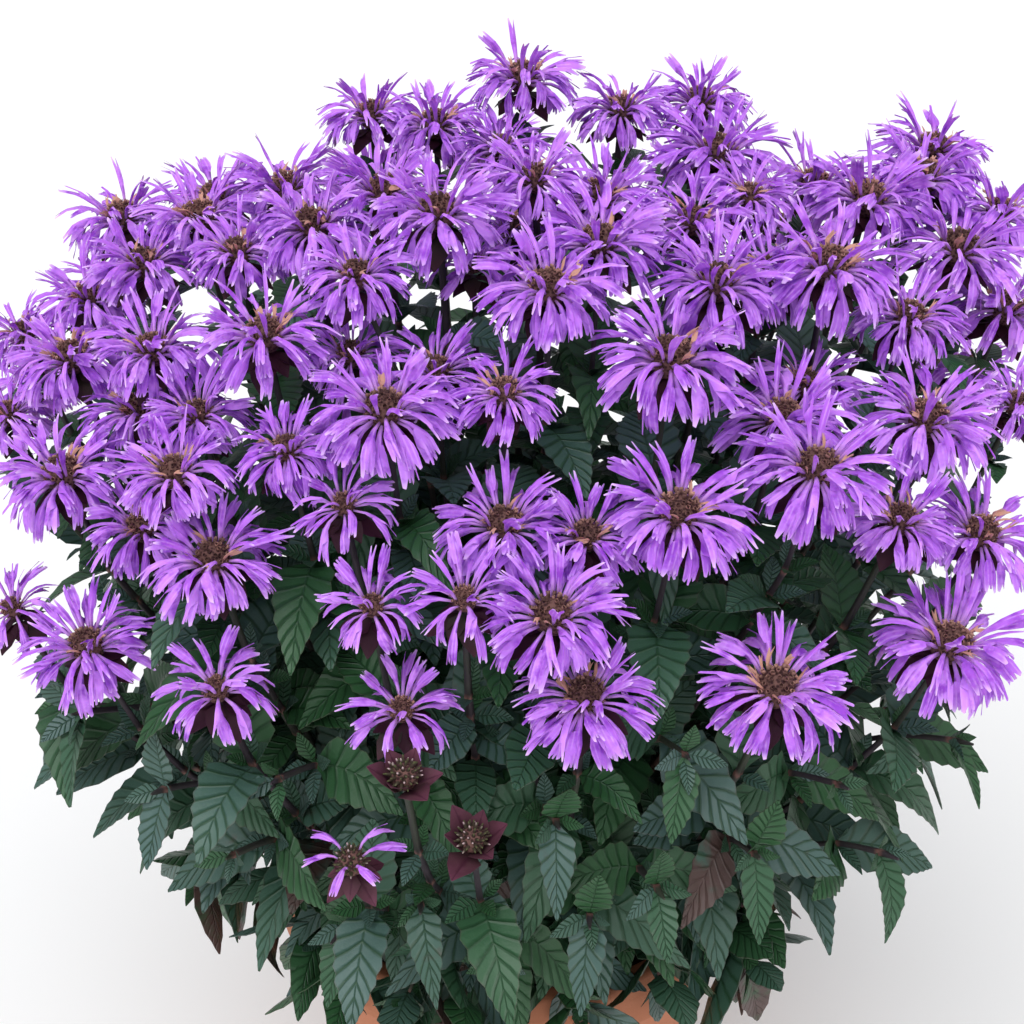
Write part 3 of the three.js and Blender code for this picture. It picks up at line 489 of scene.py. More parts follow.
for crown in crowns:
    bundle = sum(top.end for top in crown.stems) / len(crown.stems)
    by_nearness = sorted(crown.stems, key=lambda top: hypot(*(top.end - bundle)[:2]))
    by_nearness[0].cell = 8
    outer = sorted(by_nearness[1:], key=lambda top: flat_angle(top.end - bundle))
    best_cost, best_shift = inf, 0
    for shift in range(8):
        cost = 0.0
        for k, top in enumerate(outer):
            cell_angle = (cell_of(k, len(outer), shift) - 1) * pi / 4 - pi / 2
            apart = cell_angle - flat_angle(top.end - bundle)
            cost += abs(atan2(sin(apart), cos(apart)))
        if cost < best_cost - 1e-9:
            best_cost, best_shift = cost, shift
    for k, top in enumerate(outer):
        top.cell = cell_of(k, len(outer), best_shift)
    for top in crown.stems:
        i, j = crown_cells[top.cell]
        step = crown_side / 3
        top.start = crown.foot + np.array([(i - 1) * step, (j - 1) * step, crown_rise])
        top.leaning = (top.start - crown.foot) * np.array([1.0, 1.0, 0.0]) * bundle_spread

# What is already in its place: points, the room that each needs round it, and whose it is.
taken = SimpleNamespace(place=np.empty((0, 3)), radius=np.empty(0), owner=np.empty(0, int))


def take(points, radius, owner):
    taken.place = np.vstack([taken.place, points])
    taken.radius = np.append(taken.radius, np.full(len(points), radius))
    taken.owner = np.append(taken.owner, np.full(len(points), owner))


def room(points, gap, owner=-1, near=None):
    """The least room between these points and what is in its place, apart from the owner's own."""
    index = taken.owner != owner
    if near is not None:
        index = near[index[near]]
    places = taken.place[index]
    if len(places) == 0:
        return inf
    squared = (points**2).sum(1)[:, None] + (places**2).sum(1)[None, :] - 2 * points @ places.T
    return (np.sqrt(np.maximum(squared, 0.0)) - taken.radius[index]).min() - gap


def curve_point(curve, t):
    a, b, c, d = curve
    return (1 - t) ** 3 * a + 3 * (1 - t) ** 2 * t * b + 3 * (1 - t) * t * t * c + t**3 * d


def curve_way(curve, t):
    a, b, c, d = curve
    return unit((1 - t) ** 2 * (b - a) + 2 * (1 - t) * t * (c - b) + t * t * (d - c))


def points_along(curve, stops, spacing):
    points, start = [], curve[0]
    for stop in stops:
        end = curve_point(curve, stop)
        count = ceil(norm(end - start) / spacing)
        points += [start + (end - start) * (k / count) for k in range(1, count + 1)]
        start = end
    return np.array(points)


def stem_curve(top, bend):
    arrive = top.end - 0.34 * top.reach * top.axis + bend
    outward = (arrive - top.start) * np.array([0.35, 0.35, 0.0]) + top.leaning
    return top.start, top.start + up * 0.3 * top.reach + outward, arrive, top.end


for head in heads:
    take((head.middle - 2 * head.axis)[None, :], head_room * head.radius, head.number)

draw = draws(20261).__next__
for top in planted:
    top.reach = norm(top.start - top.end)
    top.turn = (draw() - 0.5) * 1.4
    below = low_head_pairs if top.middle[2] < high_up else high_head_pairs
    if top.age == "shoot":
        below = shoot_pairs
    top.pairs = []
    for k, depth in enumerate(below):
        pair = SimpleNamespace(t=1 - (depth + 12 * draw()) / top.reach, crossed=k % 2)
        pair.rise = 0.3 + 0.5 * draw()
        pair.droop = 0.3 + 0.4 * draw()
        pair.size = (0.8 + 0.2 * draw()) * (0.6 if depth < 20 else 1)
        top.pairs.append(pair)
    top.pairs = [pair for pair in top.pairs if pair.t > 0.2]
    top.stops = sorted([0.09] + [pair.t for pair in top.pairs] + [1.0])

# A stem bends aside, first a little and then more, until it passes clear of what stands before it.
bends = [level(k * pi / 6) * push for push in (12, 24, 38, 54, 72) for k in range(12)]
for top in planted:
    best_left = -inf
    for bend in [0 * up] + bends:
        curve = stem_curve(top, bend)
        points = points_along(curve, top.stops, 5)
        left = room(points[4:], stem_gap, top.number)
        if left > best_left + 1e-6:
            best_left, top.curve, top.points = left, curve, points
        if best_left > 0:
            break
    take(top.points, stem_room, top.number)
is_stem = np.arange(len(taken.radius)) >= len(heads)
stem_places, stem_owners = taken.place[is_stem], taken.owner[is_stem]


def ease_line(top):
    """The line that a stem follows, from its crown to its end, with its corners eased."""
    line = np.vstack([top.start, top.points])
    for again in range(4):
        line[1:-1] = (line[:-2] + 2 * line[1:-1] + line[2:]) / 4
    top.line = line
    top.marks = np.append(0.0, np.cumsum(norm(np.diff(line, axis=0), axis=1)))
    top.length = top.marks[-1]


for top in tops:
    ease_line(top)


def frame_on(place, along, turned):
    """A place on a stem with the stem's own directions: along it, and across it to its flat sides."""
    across = level(turned)
    across = unit(across - along * (across @ along))
    return place, along, across, np.cross(along, across)


def stem_frame(top, t, along=None):
    along = curve_way(top.curve, t) if along is None else along
    return frame_on(curve_point(top.curve, t), along, top.turn * min(1.0, t / 0.2))


def line_frame(top, mark):
    """The same at a distance along the eased line."""
    mark = max(mark, 0.0)
    steps = (mark - 4, mark, mark + 4)
    behind, place, ahead = (np.array([np.interp(s, top.marks, line) for line in top.line.T]) for s in steps)
    return frame_on(place, unit(ahead - behind), top.turn * min(1.0, mark / top.length / 0.2))


# Leaves. Opposite pairs of short-stalked, pointed leaves with toothed edges and sunken veins, each pair
# crossed to the next. Their places are settled here, as the stems' joints depend on them.
stem_half = 2.0
leaf_length = 58.0
leaf_half_width = 13.0
leaf_room = 4.9
smallest_leaf = 0.5
leaf_turns = (0, 0.3, -0.3, 0.55, -0.55)
deep_share = 0.62  # of the way from the dome's middle to its face; further in, a leaf is plain


def swing(first, second, angle):
    """The direction at an angle from the first of two crossed directions towards the second."""
    return first * cos(angle) + second * sin(angle)


def blade_of(base, out, along, way, **measures):
    """A blade with its own directions: its way, to its side and out of its face."""
    to_side = np.cross(along, out)
    return SimpleNamespace(base=base, way=way, to_side=to_side, face=np.cross(way, to_side), **measures)


def leaf_at(frame_there, side, yaw, size, rise, droop):
    middle, along, across, over = frame_there
    sideways = (-over, across, over, -across)[side]
    out = swing(sideways, np.cross(along, sideways), yaw)
    way = swing(out, along, rise)
    measures = {"length": size * leaf_length, "half_width": size * leaf_half_width, "size": size}
    return blade_of(middle + out * stem_half, out, along, way, hang=droop * hypot(way[0], way[1]), **measures)


def blade_places(blade, along, across, lift):
    """Places on a blade: along its rib, across it in half widths, and above it."""
    width = blade.half_width * across
    reach = blade.length * along
    place = blade.base + np.outer(reach, blade.way) - np.outer(blade.hang * reach * along, up)
    return place + np.outer(width, blade.to_side) + np.outer(0.25 * np.abs(width) + lift, blade.face)


probe_rows = [(0.3, 0.8), (0.48, 0.95), (0.66, 0.8), (0.84, 0.4)]
probe_along = np.array([1.0] + [s for s, w in probe_rows for part in range(4)])
probe_across = np.array([0.0] + [w * part for s, w in probe_rows for part in (-1, -0.33, 0.33, 1)])
root_along, root_across = np.array([0.14, 0.14]), np.array([-0.5, 0.5])


def clear_of_pot(points):
    out = np.hypot(points[:, 0], points[:, 1])
    least = np.where(out > rim_radius - pot_wall - 8, pot_height + 5, soil_top + 8)
    return np.all(points[:, 2] > np.where(out > rim_radius + 6, 150.0, least))


def near_to(point, reach):
    """Which of the taken places lie within a reach of a point."""
    return np.nonzero(((taken.place - point) ** 2).sum(1) < reach**2)[0]


def is_deep(point):
    return norm((point - dome_centre) / dome_radii) < deep_share


def fit_leaf(top, frame_there, side, shape, gap, shrinks, least):
    """Gives a stem a leaf, held in the first way that is clear of what stands round it, if there is one."""
    near = near_to(frame_there[0], leaf_length + 40 + taken.radius)
    for shrink in shrinks:
        if shrink * shape.size <= least:
            continue
        for yaw in leaf_turns:
            leaf = leaf_at(frame_there, side, yaw, shape.size * shrink, shape.rise, shape.droop)
            probes = blade_places(leaf, probe_along, probe_across, 0.0)
            roots = blade_places(leaf, root_along, root_across, 0.0)
            clear = room(probes, gap, -1, near) > 0 and room(roots, gap, top.number, near) > 0
            if clear and clear_of_pot(probes):
                take(np.vstack([probes, roots]), gap, next_number())
                top.leaves.append(leaf)
                return leaf


pair_sides = ((0, 2), (1, 3))
taken.radius[: len(heads)] = [head.radius for head in heads]
next_number = counting(1000).__next__
for top in shoots + heads:
    top.leaves, top.joints = [], []
    for pair in top.pairs:
        there = stem_frame(top, pair.t)
        mark = top.marks[np.argmin(((top.line - there[0]) ** 2).sum(1))]
        top.joints.append(mark)
        for side in pair_sides[pair.crossed]:
            fit_leaf(top, there, side, pair, leaf_room, (1, 0.85, 0.7), smallest_leaf)
for head in heads:
    head.spin = draw() * pi

leaf_draw = draws(77).__next__


def grow_pair(top, mark, crossed, least_size, gap, droop):
    """A further pair of leaves at a joint of a stem."""
    there = line_frame(top, mark)
    top.joints.append(mark)
    for side in pair_sides[crossed]:
        shape = SimpleNamespace(size=least_size + 0.3 * leaf_draw(), rise=0.2 + 0.5 * leaf_draw(), droop=0.0)
        shape.droop = droop + 0.4 * leaf_draw()
        blade = fit_leaf(top, there, side, shape, gap, (1, 0.8, 0.62), 0.34)
        if blade:
            blade.is_inner = is_deep(there[0])


# Short leafy sprigs from the outer crowns arch out over the pot's rim.
sprig_draw = draws(58).__next__
closest = -2.5
sprig_turns, sprig_asides = (-0.42, -0.22, -0.02, 0.18), (0.0, 0.07, -0.07, 0.14, -0.14)
sprig_pairs = (3, 14, 26, 39, 53, 68)
bare_middle = 112
for crown in crowns[5:]:
    for turned in sprig_turns:
        spread, tall, far, low = 0.12 * sprig_draw(), sprig_draw(), sprig_draw(), sprig_draw()
        best_left = closest
        for aside in sprig_asides:
            out = level(flat_angle(crown.foot) + turned + spread + aside)
            start = crown.foot + out * crown_side / 2 + up
            end = out * (rim_radius + 12 + 36 * far) + up * (pot_height + 5 + 24 * low)
            curve = (start, start + up * (52 + 20 * tall), end - out * 24 + up * 22, end)
            points = points_along(curve, [k / 12 for k in range(1, 13)], 5)
            left = room(points[3:], sprig_room)
            if left > best_left:
                best_left = left
                sprig = SimpleNamespace(start=start, points=points, age="shoot", joints=[], leaves=[])
        if best_left > closest:
            sprig.number = next_number()
            sprig.turn = 0.6 * sprig_draw()
            ease_line(sprig)
            take(sprig.points, sprig_room, sprig.number)
            crown.sprigs.append(sprig)
for crown in crowns:
    for sprig in crown.sprigs:
        for k, depth in enumerate(sprig_pairs):
            if hypot(*line_frame(sprig, sprig.length - depth)[0][:2]) > bare_middle:
                grow_pair(sprig, sprig.length - depth, k % 2, 0.55 if k == 0 else 0.7, 0.6, 0.35)

# Further pairs down each stem. Those deep in the clump are plain, as they are only seen as dark green.
bare_foot = 45
least_step, step_spread = 18, 9
for top in tops:
    mark, crossed = min(top.joints, default=top.length - 50), len(top.pairs)
    while mark > bare_foot:
        mark -= least_step + step_spread * leaf_draw()
        crossed += 1
        if line_frame(top, mark)[0][2] > soil_top + 26:
            grow_pair(top, mark, crossed % 2, 0.6, 1.2, 0.1)

# A last small pair stands close under each head, except at the clump's front, where the stems are bare there.
last_pair_depth, last_step = 30, 14
bare_front = -40
for head in heads:
    mark, fully_leaved = head.length - last_pair_depth, len(head.leaves)
    if head.middle[1] > bare_front and mark - max(head.joints, default=0) > last_step:
        grow_pair(head, mark, len(head.joints) % 2, 0.42, 1.0, 0.1)
    for blade in head.leaves[fully_leaved:]:
        blade.is_inner = True


def start_shape(*values):
    """An empty shape whose points carry the named values."""
    shape = bmesh.new()
    for name in values:
        shape.verts.layers.float.new(name)
    return shape


def rod_of(values, sides, foot, head, length, cuts=0):
    """A closed rod on its middle line, cut across into lengths."""
    shape = start_shape(*values)
    bmesh.ops.create_cone(shape, cap_ends=True, segments=sides, radius1=foot, radius2=head, depth=length)
    if cuts:
        upright = [edge for edge in shape.edges if abs(edge.verts[0].co.z - edge.verts[1].co.z) > length / 2]
        bmesh.ops.subdivide_edges(shape, edges=upright, cuts=cuts)
    return shape


def blank_of(name, shape, sharpest):
    """Keeps a shape as the blank that many like pieces are bent from."""
    bmesh.ops.recalc_face_normals(shape, faces=shape.faces[:])
    shade_softly(shape, sharpest)
    return mesh_of(name, shape)


def points_of(blank):
    return np.array([vertex.co for vertex in blank.vertices])


def lay(shape, blank, places, **values):
    """Adds a copy of a blank to a shape, with its points put in their places, given in millimetres."""
    first = len(shape.verts)
    shape.from_mesh(blank)
    shape.verts.ensure_lookup_table()
    layers = {name: shape.verts.layers.float[name] for name in values}
    for k, vertex in enumerate(shape.verts[first:]):
        vertex.co = places[k] * millimetre
        for name, value in values.items():
            vertex[layers[name]] = value if np.isscalar(value) else value[k]


# The stems themselves. Each is bent from one blank: a rod of eight sides, square because every second edge
# stands out, in short lengths that crowd together at the joints. A knob of wood stands at each crown's foot.
stem_lengths = 26
swelling = 3.5
stem_blank = blank_of("stem_blank", rod_of(("joint",), 8, 1.0, 1.0, 1.0, stem_lengths - 1), 60.0)
stem_points = points_of(stem_blank)
stem_rows = np.rint((stem_points[:, 2] + 0.5) * stem_lengths).astype(int)
stem_angle = np.arctan2(stem_points[:, 1], stem_points[:, 0])
is_corner = np.rint(stem_angle / (pi / 4)).astype(int) % 2 == 1
stem_reach = np.where(is_corner, 1.3, 0.9)
knob_radii = Vector((12.5, 12.5, 9.0)) * millimetre

bark = Finish("square_stem", 0.6, 0.3)
purple_brown = bark.blend(bark.grain(120.0), (0.024, 0.017, 0.025), (0.058, 0.044, 0.054))
green_brown = bark.blend(bark.grain(90.0), (0.03, 0.042, 0.026), (0.055, 0.055, 0.04))
stem_tone = bark.blend(bark.between(bark.grain(14.0), 0.42, 0.62), purple_brown, green_brown)
bark.colour(bark.blend(bark.between("joint", 0.3, 1.0), stem_tone, (0.2, 0.1, 0.085)))
bark.relief(bark.grain(200.0, 3.0, 0.5, (1.0, 1.0, 0.1)), 0.3)

for crown in crowns:
    stems = bmesh.new()
    for top in crown.stems + crown.sprigs:
        steps = (-swelling, 0.0, swelling)
        joint_rows = [joint + step for joint in sorted(top.joints)[-6:] for step in steps]
        last, count = top.length - 1.0, stem_lengths + 1
        rows = np.sort(np.append(joint_rows, np.linspace(-4.0, last, count - len(joint_rows))))
        rows = np.minimum(rows, np.linspace(last - 0.9, last, count))
        swell = np.zeros(count)
        for joint in top.joints:
            swell = np.maximum(swell, np.exp(-(((rows - joint) / swelling) ** 2)))
        slim = 0.8 if hasattr(top, "pairs") else 0.62
        half = stem_half * slim * (1.0 - 0.2 * rows / top.length) * (1 + 0.3 * swell)
        if top.age == "shoot":
            half *= np.minimum(1.0, 0.35 + (top.length - rows) / 14)
        frames = zip(*(line_frame(top, mark) for mark in rows))
        middle, along, across, over = (np.array(ways) for ways in frames)
        middle[0] -= 4.0 * along[0]
        wide = (half[stem_rows] * stem_reach)[:, None]
        places = middle[stem_rows] + wide * np.cos(stem_angle)[:, None] * across[stem_rows]
        places = places + wide * np.sin(stem_angle)[:, None] * over[stem_rows]
        lay(stems, stem_blank, places, joint=swell[stem_rows])
    foot = Vector(crown.foot * millimetre)
    knob = bmesh.ops.create_icosphere(stems, subdivisions=3, radius=1.0)["verts"]
    bmesh.ops.scale(stems, verts=knob, vec=knob_radii)
    bmesh.ops.translate(stems, verts=knob, vec=foot + Vector((0, 0, -2)) * millimetre)
    for vertex in knob:
        vertex.co += (vertex.co - foot) * 0.5 * noise.noise(vertex.co * 160.0)
        for face in vertex.link_faces:
            face.smooth = True
    settle("stems_" + crown.number, stems, bark, "foliage", "leafy_stems_" + crown.number)


# The leaves themselves. A blade is a thin grid, cut to a pointed oval with a tooth at every row, pressed down
# along its rib and side veins, and given its thickness; small plain ones spring from the joints.
def blade_blank(name, columns, rows, tooth, quilt):
    shape = start_shape("along", "across", "tint", "age")
    layers = shape.verts.layers.float
    bmesh.ops.create_grid(shape, x_segments=columns, y_segments=rows, size=1.0)
    for vertex in shape.verts:
        u, s = vertex.co.x, (vertex.co.y + 1) / 2
        row = round(s * rows)
        slanted = s + (0.27 * abs(u) - 0.07 * u * u) * sin(pi * s)
        outline = 1.1 * np.interp(
            slanted,
            (0.0, 0.05, 0.1, 0.18, 0.28, 0.4, 0.55, 0.7, 0.85, 1.0),
            (0.1, 0.12, 0.5, 0.88, 1.06, 1.06, 0.96, 0.77, 0.45, 0.05),
        )
        is_edge = abs(u) > 0.99 and 1 < row < rows
        outline *= 1 + tooth * (0.7 if row % 2 else -0.5) * is_edge
        vertex[layers["along"]], vertex[layers["across"]] = s, u
        between_veins = quilt * (1.0 if row % 2 else -0.9) * (0.3 < abs(u) < 0.9) * (0 < row < rows)
        rib = -0.9 * quilt * (u == 0) * (0 < row < rows)
        vertex.co = (u * outline * leaf_half_width, slanted * leaf_length, between_veins + rib)
    bmesh.ops.solidify(shape, geom=shape.faces[:], thickness=0.5)
    return blank_of(name, shape, 45.0)


vein_pairs = 9
leaf_blank = blade_blank("leaf_blank", 4, 2 * vein_pairs, 0.1, 0.6)
middling_blank = blade_blank("middling_blank", 4, 8, 0.12, 0.5)
small_blank = blade_blank("small_blank", 2, 4, 0.0, 0.1)


def add_blade(shape, blank, blade, curl, tint, age, roll=0.0):
    points = points_of(blank)
    along = 1.03 * points[:, 1] / leaf_length - 0.03
    across = points[:, 0] / leaf_half_width
    wave = 1.3 * blade.size * np.sin(7.0 * along + tint * 6.0) * np.abs(across) * np.sign(across + 1e-9)
    curled = -curl * blade.length * np.maximum(along - 0.45, 0.0) ** 2
    curled = curled + roll * blade.half_width * across * np.minimum(1.0, 3.0 * along)
    places = blade_places(blade, along, across, points[:, 2] * blade.size + wave + curled)
    lay(shape, blank, places, tint=tint, age=age)


leaf = Finish("toothed_leaf", 0.43, 0.42)
# Painted shade and light: each blade is painted darker along its sunken side veins and rib, and lighter
# towards the middle of each raised pillow between them, as light falls across the quilted surface. The same
# share also raises the bumps.
vein = leaf.sum("PINGPONG", leaf.sum("MULTIPLY", "along", vein_pairs), 0.5)
off_rib = leaf.sum("ABSOLUTE", "across")
pillow_light_and_height = leaf.sum("MULTIPLY", leaf.between(vein, -0.06, 0.24), leaf.between(off_rib, -0.05, 0.09))
vein_shade_green = leaf.blend(leaf.grain(40.0), (0.012, 0.045, 0.015), (0.022, 0.07, 0.03))
mid_green = leaf.blend(leaf.grain(30.0), (0.018, 0.075, 0.024), (0.036, 0.115, 0.044))
# Leaves with a high tint take a lighter grey-blue green: partly their own tone, which differs at random from
# leaf to leaf, and partly a painted sheen of the sky's reflection.
grey_sheen_green = leaf.blend(leaf.grain(30.0), (0.045, 0.1, 0.078), (0.085, 0.15, 0.145))
lit = leaf.blend(leaf.between("tint", 0.2, 1.0), mid_green, grey_sheen_green)
fresh = leaf.blend(pillow_light_and_height, vein_shade_green, lit)
withered = leaf.blend(leaf.grain(60.0, 4.0), (0.045, 0.03, 0.022), (0.12, 0.07, 0.065))
spots = leaf.sum("ADD", leaf.grain(55.0, 4.0), leaf.sum("MULTIPLY", "age", 0.4))
brown_edge = leaf.sum("MULTIPLY", leaf.between(off_rib, 0.92, 1.0), 0.3)
brown_part = leaf.sum("MAXIMUM", leaf.between(spots, 0.7, 0.9), brown_edge)
leaf.colour(leaf.blend(brown_part, fresh, withered))
leaf.relief(leaf.sum("ADD", pillow_light_and_height, leaf.sum("MULTIPLY", leaf.grain(600.0), 0.25)), 0.6)

withering_height, most_withered = 400.0, 0.4
curled_share, full_curl = 0.12, 1.2
for crown in crowns:
    leaves = bmesh.new()
    for top in crown.stems + crown.sprigs:
        for blade in top.leaves:
            low = max(0.0, (withering_height - blade.base[2]) / withering_height)
            age = 1.0 if leaf_draw() < most_withered * low else 0.2 * leaf_draw()
            curl = full_curl if leaf_draw() < curled_share else 0.5 * leaf_draw() - 0.1
            roll = 0.5 * (leaf_draw() - 0.5)
            blank = leaf_blank
            if hasattr(blade, "is_inner"):
                roll *= 2.0
                blank = small_blank if blade.is_inner else middling_blank
            add_blade(leaves, blank, blade, curl, leaf_draw(), age, roll)
        for joint in sorted(top.joints)[-3:]:
            there = line_frame(top, joint)
            for side in range(0 if is_deep(there[0]) else 4):
                small = leaf_at(there, side, 0.3, 0.2 + 0.18 * leaf_draw(), 0.5 + 0.6 * leaf_draw(), 0.2)
                tips = blade_places(small, np.array([0.5, 1.0]), np.array([0.0, 0.0]), 0.0)
                near = near_to(small.base, 50.0)
                if clear_of_pot(tips) and room(tips, -1.5, top.number, near) > 0:
                    add_blade(leaves, small_blank, small, 0.2, leaf_draw(), 0.0)
    settle("leaves_" + crown.number, leaves, leaf, "foliage", "leafy_stems_" + crown.number)


# Bracts. A whorl of dark maroon, leafy bracts under each head: four broad ones and four smaller between,
# all sprung from the stem's end and hanging a little. A head in bud has six, pinker, that cup it.
bract_reach = 21.0
usual_radius = 30  # of a head


def share_in_cell(head, start, end, gap, past_wall=0.0):
    """The share of the way from one point to another that stays clear of the next heads and passing stems."""
    way, share = end - start, 1.0
    for normal, limit in head.walls:
        at_start = normal @ (start - head.middle)
        gain = normal @ way
        if at_start + gain > limit + past_wall:
            share = min(share, max(0.12, (limit + past_wall - at_start) / gain))
    while share > 0.3 and len(head.passing):
        tests = start + np.outer(np.array([1.0, 0.75, 0.5]) * share, way)
        apart = norm(tests[:, None, :] - head.passing[None, :, :], axis=2)
        if apart.min() > 3 + gap:
            break
        share -= 0.08
    return share


for head in heads:
    head.walls = []
    for other in heads:
        way = other.middle - head.middle
        apart = norm(way)
        if other is not head and apart < head.radius + other.radius + 12:
            limit = apart * head.radius / (head.radius + other.radius) - 0.6
            head.walls.append((way / apart, limit))
    near = (stem_owners != head.number) & (norm(stem_places - head.middle, axis=1) < head.radius + 14)
    head.passing = stem_places[near]

bract = Finish("maroon_bract", 0.6, 0.2)
maroon = bract.blend(bract.grain(70.0), (0.022, 0.004, 0.011), (0.05, 0.011, 0.024))
greenish = bract.blend("along", (0.02, 0.035, 0.015), (0.06, 0.02, 0.03))
grown_tone = bract.blend(bract.between("tint", 0.6, 1.2), maroon, greenish)
pink = bract.blend("along", (0.05, 0.04, 0.028), (0.2, 0.06, 0.105))
rib = bract.between(bract.sum("ABSOLUTE", "across"), 0.0, 0.3)
pink = bract.blend(bract.sum("MULTIPLY", rib, bract.grain(140.0, 3.0)), (0.06, 0.016, 0.03), pink)
bract.colour(bract.blend("age", grown_tone, pink))
bract.relief(bract.grain(240.0), 0.3)

# A head's bracts: how many, their size, how they rise, how much that varies, and how they hang.
bud_bracts = (6, 1.1, 1.7, 1.3, 0.0)
bract_draw = draws(5).__next__
for crown in crowns:
    bracts = bmesh.new()
    for head in crown.heads:
        end, along, across, over = stem_frame(head, 1.0, head.axis)
        open_bracts = (8, head.radius / usual_radius, -0.24, 0.2, 0.12)
        count, size, rise, spread, hang = bud_bracts if head.age == "bud" else open_bracts
        age = 0.85 if head.age in ("bud", "first") else 0.0
        for k in range(count):
            out = swing(across, over, -3 * pi / 4 + k * 2 * pi / count)
            broad, half, drop = (1.0, 6.2, 3.0) if k % 2 == 0 else (0.76, 5.0, 1.5)
            reach = size * bract_reach * broad
            start = end + 1.5 * out - drop * along
            share = share_in_cell(head, start, start + reach * out - 5 * along, 1)
            way = unit(out + (rise - spread * bract_draw()) * along)
            half_width = size * half * (0.5 + 0.5 * share)
            measures = {"hang": hang, "length": reach * share, "half_width": half_width, "size": 0.5}
            blade = blade_of(start, out, along, way, **measures)
            add_blade(bracts, small_blank, blade, 0.2 * bract_draw(), bract_draw(), age)
    settle("bracts_" + crown.number, bracts, bract, "foliage", "leafy_stems_" + crown.number)


# Hearts. The cushion at the middle of each head is a dome packed with small calyx cups, dark maroon inside
# with dry tan rims. In a head in bud the cups are still closed, and pale points show between them.
def cup_blank():
    shape = rod_of(("reach", "tint"), 5, 0.6, 1.1, 4.0)
    layer = shape.verts.layers.float["reach"]
    mouth = max(shape.faces, key=lambda face: face.calc_center_median().z)
    bmesh.ops.inset_individual(shape, faces=[mouth], thickness=0.3)
    bmesh.ops.translate(shape, verts=mouth.verts[:], vec=(0.0, 0.0, -1.6))
    for k, vertex in enumerate(shape.verts):
        inside = vertex in mouth.verts[:]
        vertex[layer] = 0.0 if inside else (vertex.co.z + 2.0) / 4.0
        vertex.co.z += 0.0 if inside or vertex.co.z < 0 else 0.35 * (k % 3 - 1)
    return blank_of("cup_blank", shape, 80.0)


def bud_blank():
    shape = rod_of(("reach", "tint"), 6, 0.8, 0.25, 5.0, 2)
    for vertex in shape.verts:
        height = (vertex.co.z + 2.5) / 5.0
        fullness = 1.0 + 0.9 * sin(pi * min(1.0, height * 1.15)) * (height < 0.95)
        vertex.co.x *= fullness
        vertex.co.y *= fullness
        vertex[shape.verts.layers.float["reach"]] = height
    return blank_of("bud_blank", shape, 80.0)


def core_blank():
    shape = start_shape("reach", "tint")
    bmesh.ops.create_icosphere(shape, subdivisions=2, radius=1.0)
    return blank_of("core_blank", shape, 80.0)


def set_on(points, place, direction, spin=0.0):
    """Points of a blank that stands on +Z, turned to a direction at a place."""
    side = unit(np.cross(direction, up + np.array([0.02, 0.01, 0.0])))
    over = np.cross(direction, side)
    side, over = swing(side, over, spin), swing(over, -side, spin)
    places = place + np.outer(points[:, 0], side) + np.outer(points[:, 1], over)
    return places + np.outer(points[:, 2], direction)


calyx = Finish("calyx_cups", 0.8, 0.2)
inner_maroon = calyx.blend("tint", (0.022, 0.01, 0.012), (0.07, 0.022, 0.024))
dry_tan = calyx.blend("tint", (0.07, 0.042, 0.042), (0.66, 0.36, 0.29))
cells = calyx.add("TexVoronoi", {"Vector": calyx.place(), "Scale": 620.0}).outputs["Distance"]
fine_rims = calyx.blend(calyx.between(cells, 0.25, 0.7), inner_maroon, (0.15, 0.075, 0.065))
cup_tone = calyx.blend(calyx.between("reach", 0.5, 1.0), fine_rims, dry_tan)
bud_foot = calyx.blend(calyx.grain(90.0), (0.04, 0.05, 0.02), (0.06, 0.02, 0.03))
bud_tip = calyx.blend(calyx.between("tint", 1.8, 1.9), (0.09, 0.1, 0.04), (0.55, 0.4, 0.42))
bud_tone = calyx.blend(calyx.between("reach", 0.7, 1.0), bud_foot, bud_tip)
calyx.colour(calyx.blend(calyx.between("tint", 1.4, 1.6), cup_tone, bud_tone))
calyx.relief(calyx.grain(900.0), 0.2)

cup, bud, core = cup_blank(), bud_blank(), core_blank()
heart_radius = 9.8
heart_foot = 6.0
cups = 46
heart_draw = draws(41).__next__


def own_frame(head):
    """The head's own directions: its axis, and two across it."""
    across = unit(level(0.0) - head.axis * head.axis[0])
    return head.axis, across, np.cross(head.axis, across)


# Each head belongs to the node whose solid stands on its stem's end.
blooms = sorted(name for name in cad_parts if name.startswith("blooms"))
feet = [(vertex.co, name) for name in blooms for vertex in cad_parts[name].data.vertices]
foot_tree = kdtree.KDTree(len(feet))
for k, (place, name) in enumerate(feet):
    foot_tree.insert(place, k)
foot_tree.balance()
for head in heads:
    nearest = foot_tree.find(Vector((head.end + 0.5 * head.axis) * millimetre))[1]
    head.node = feet[nearest][1]

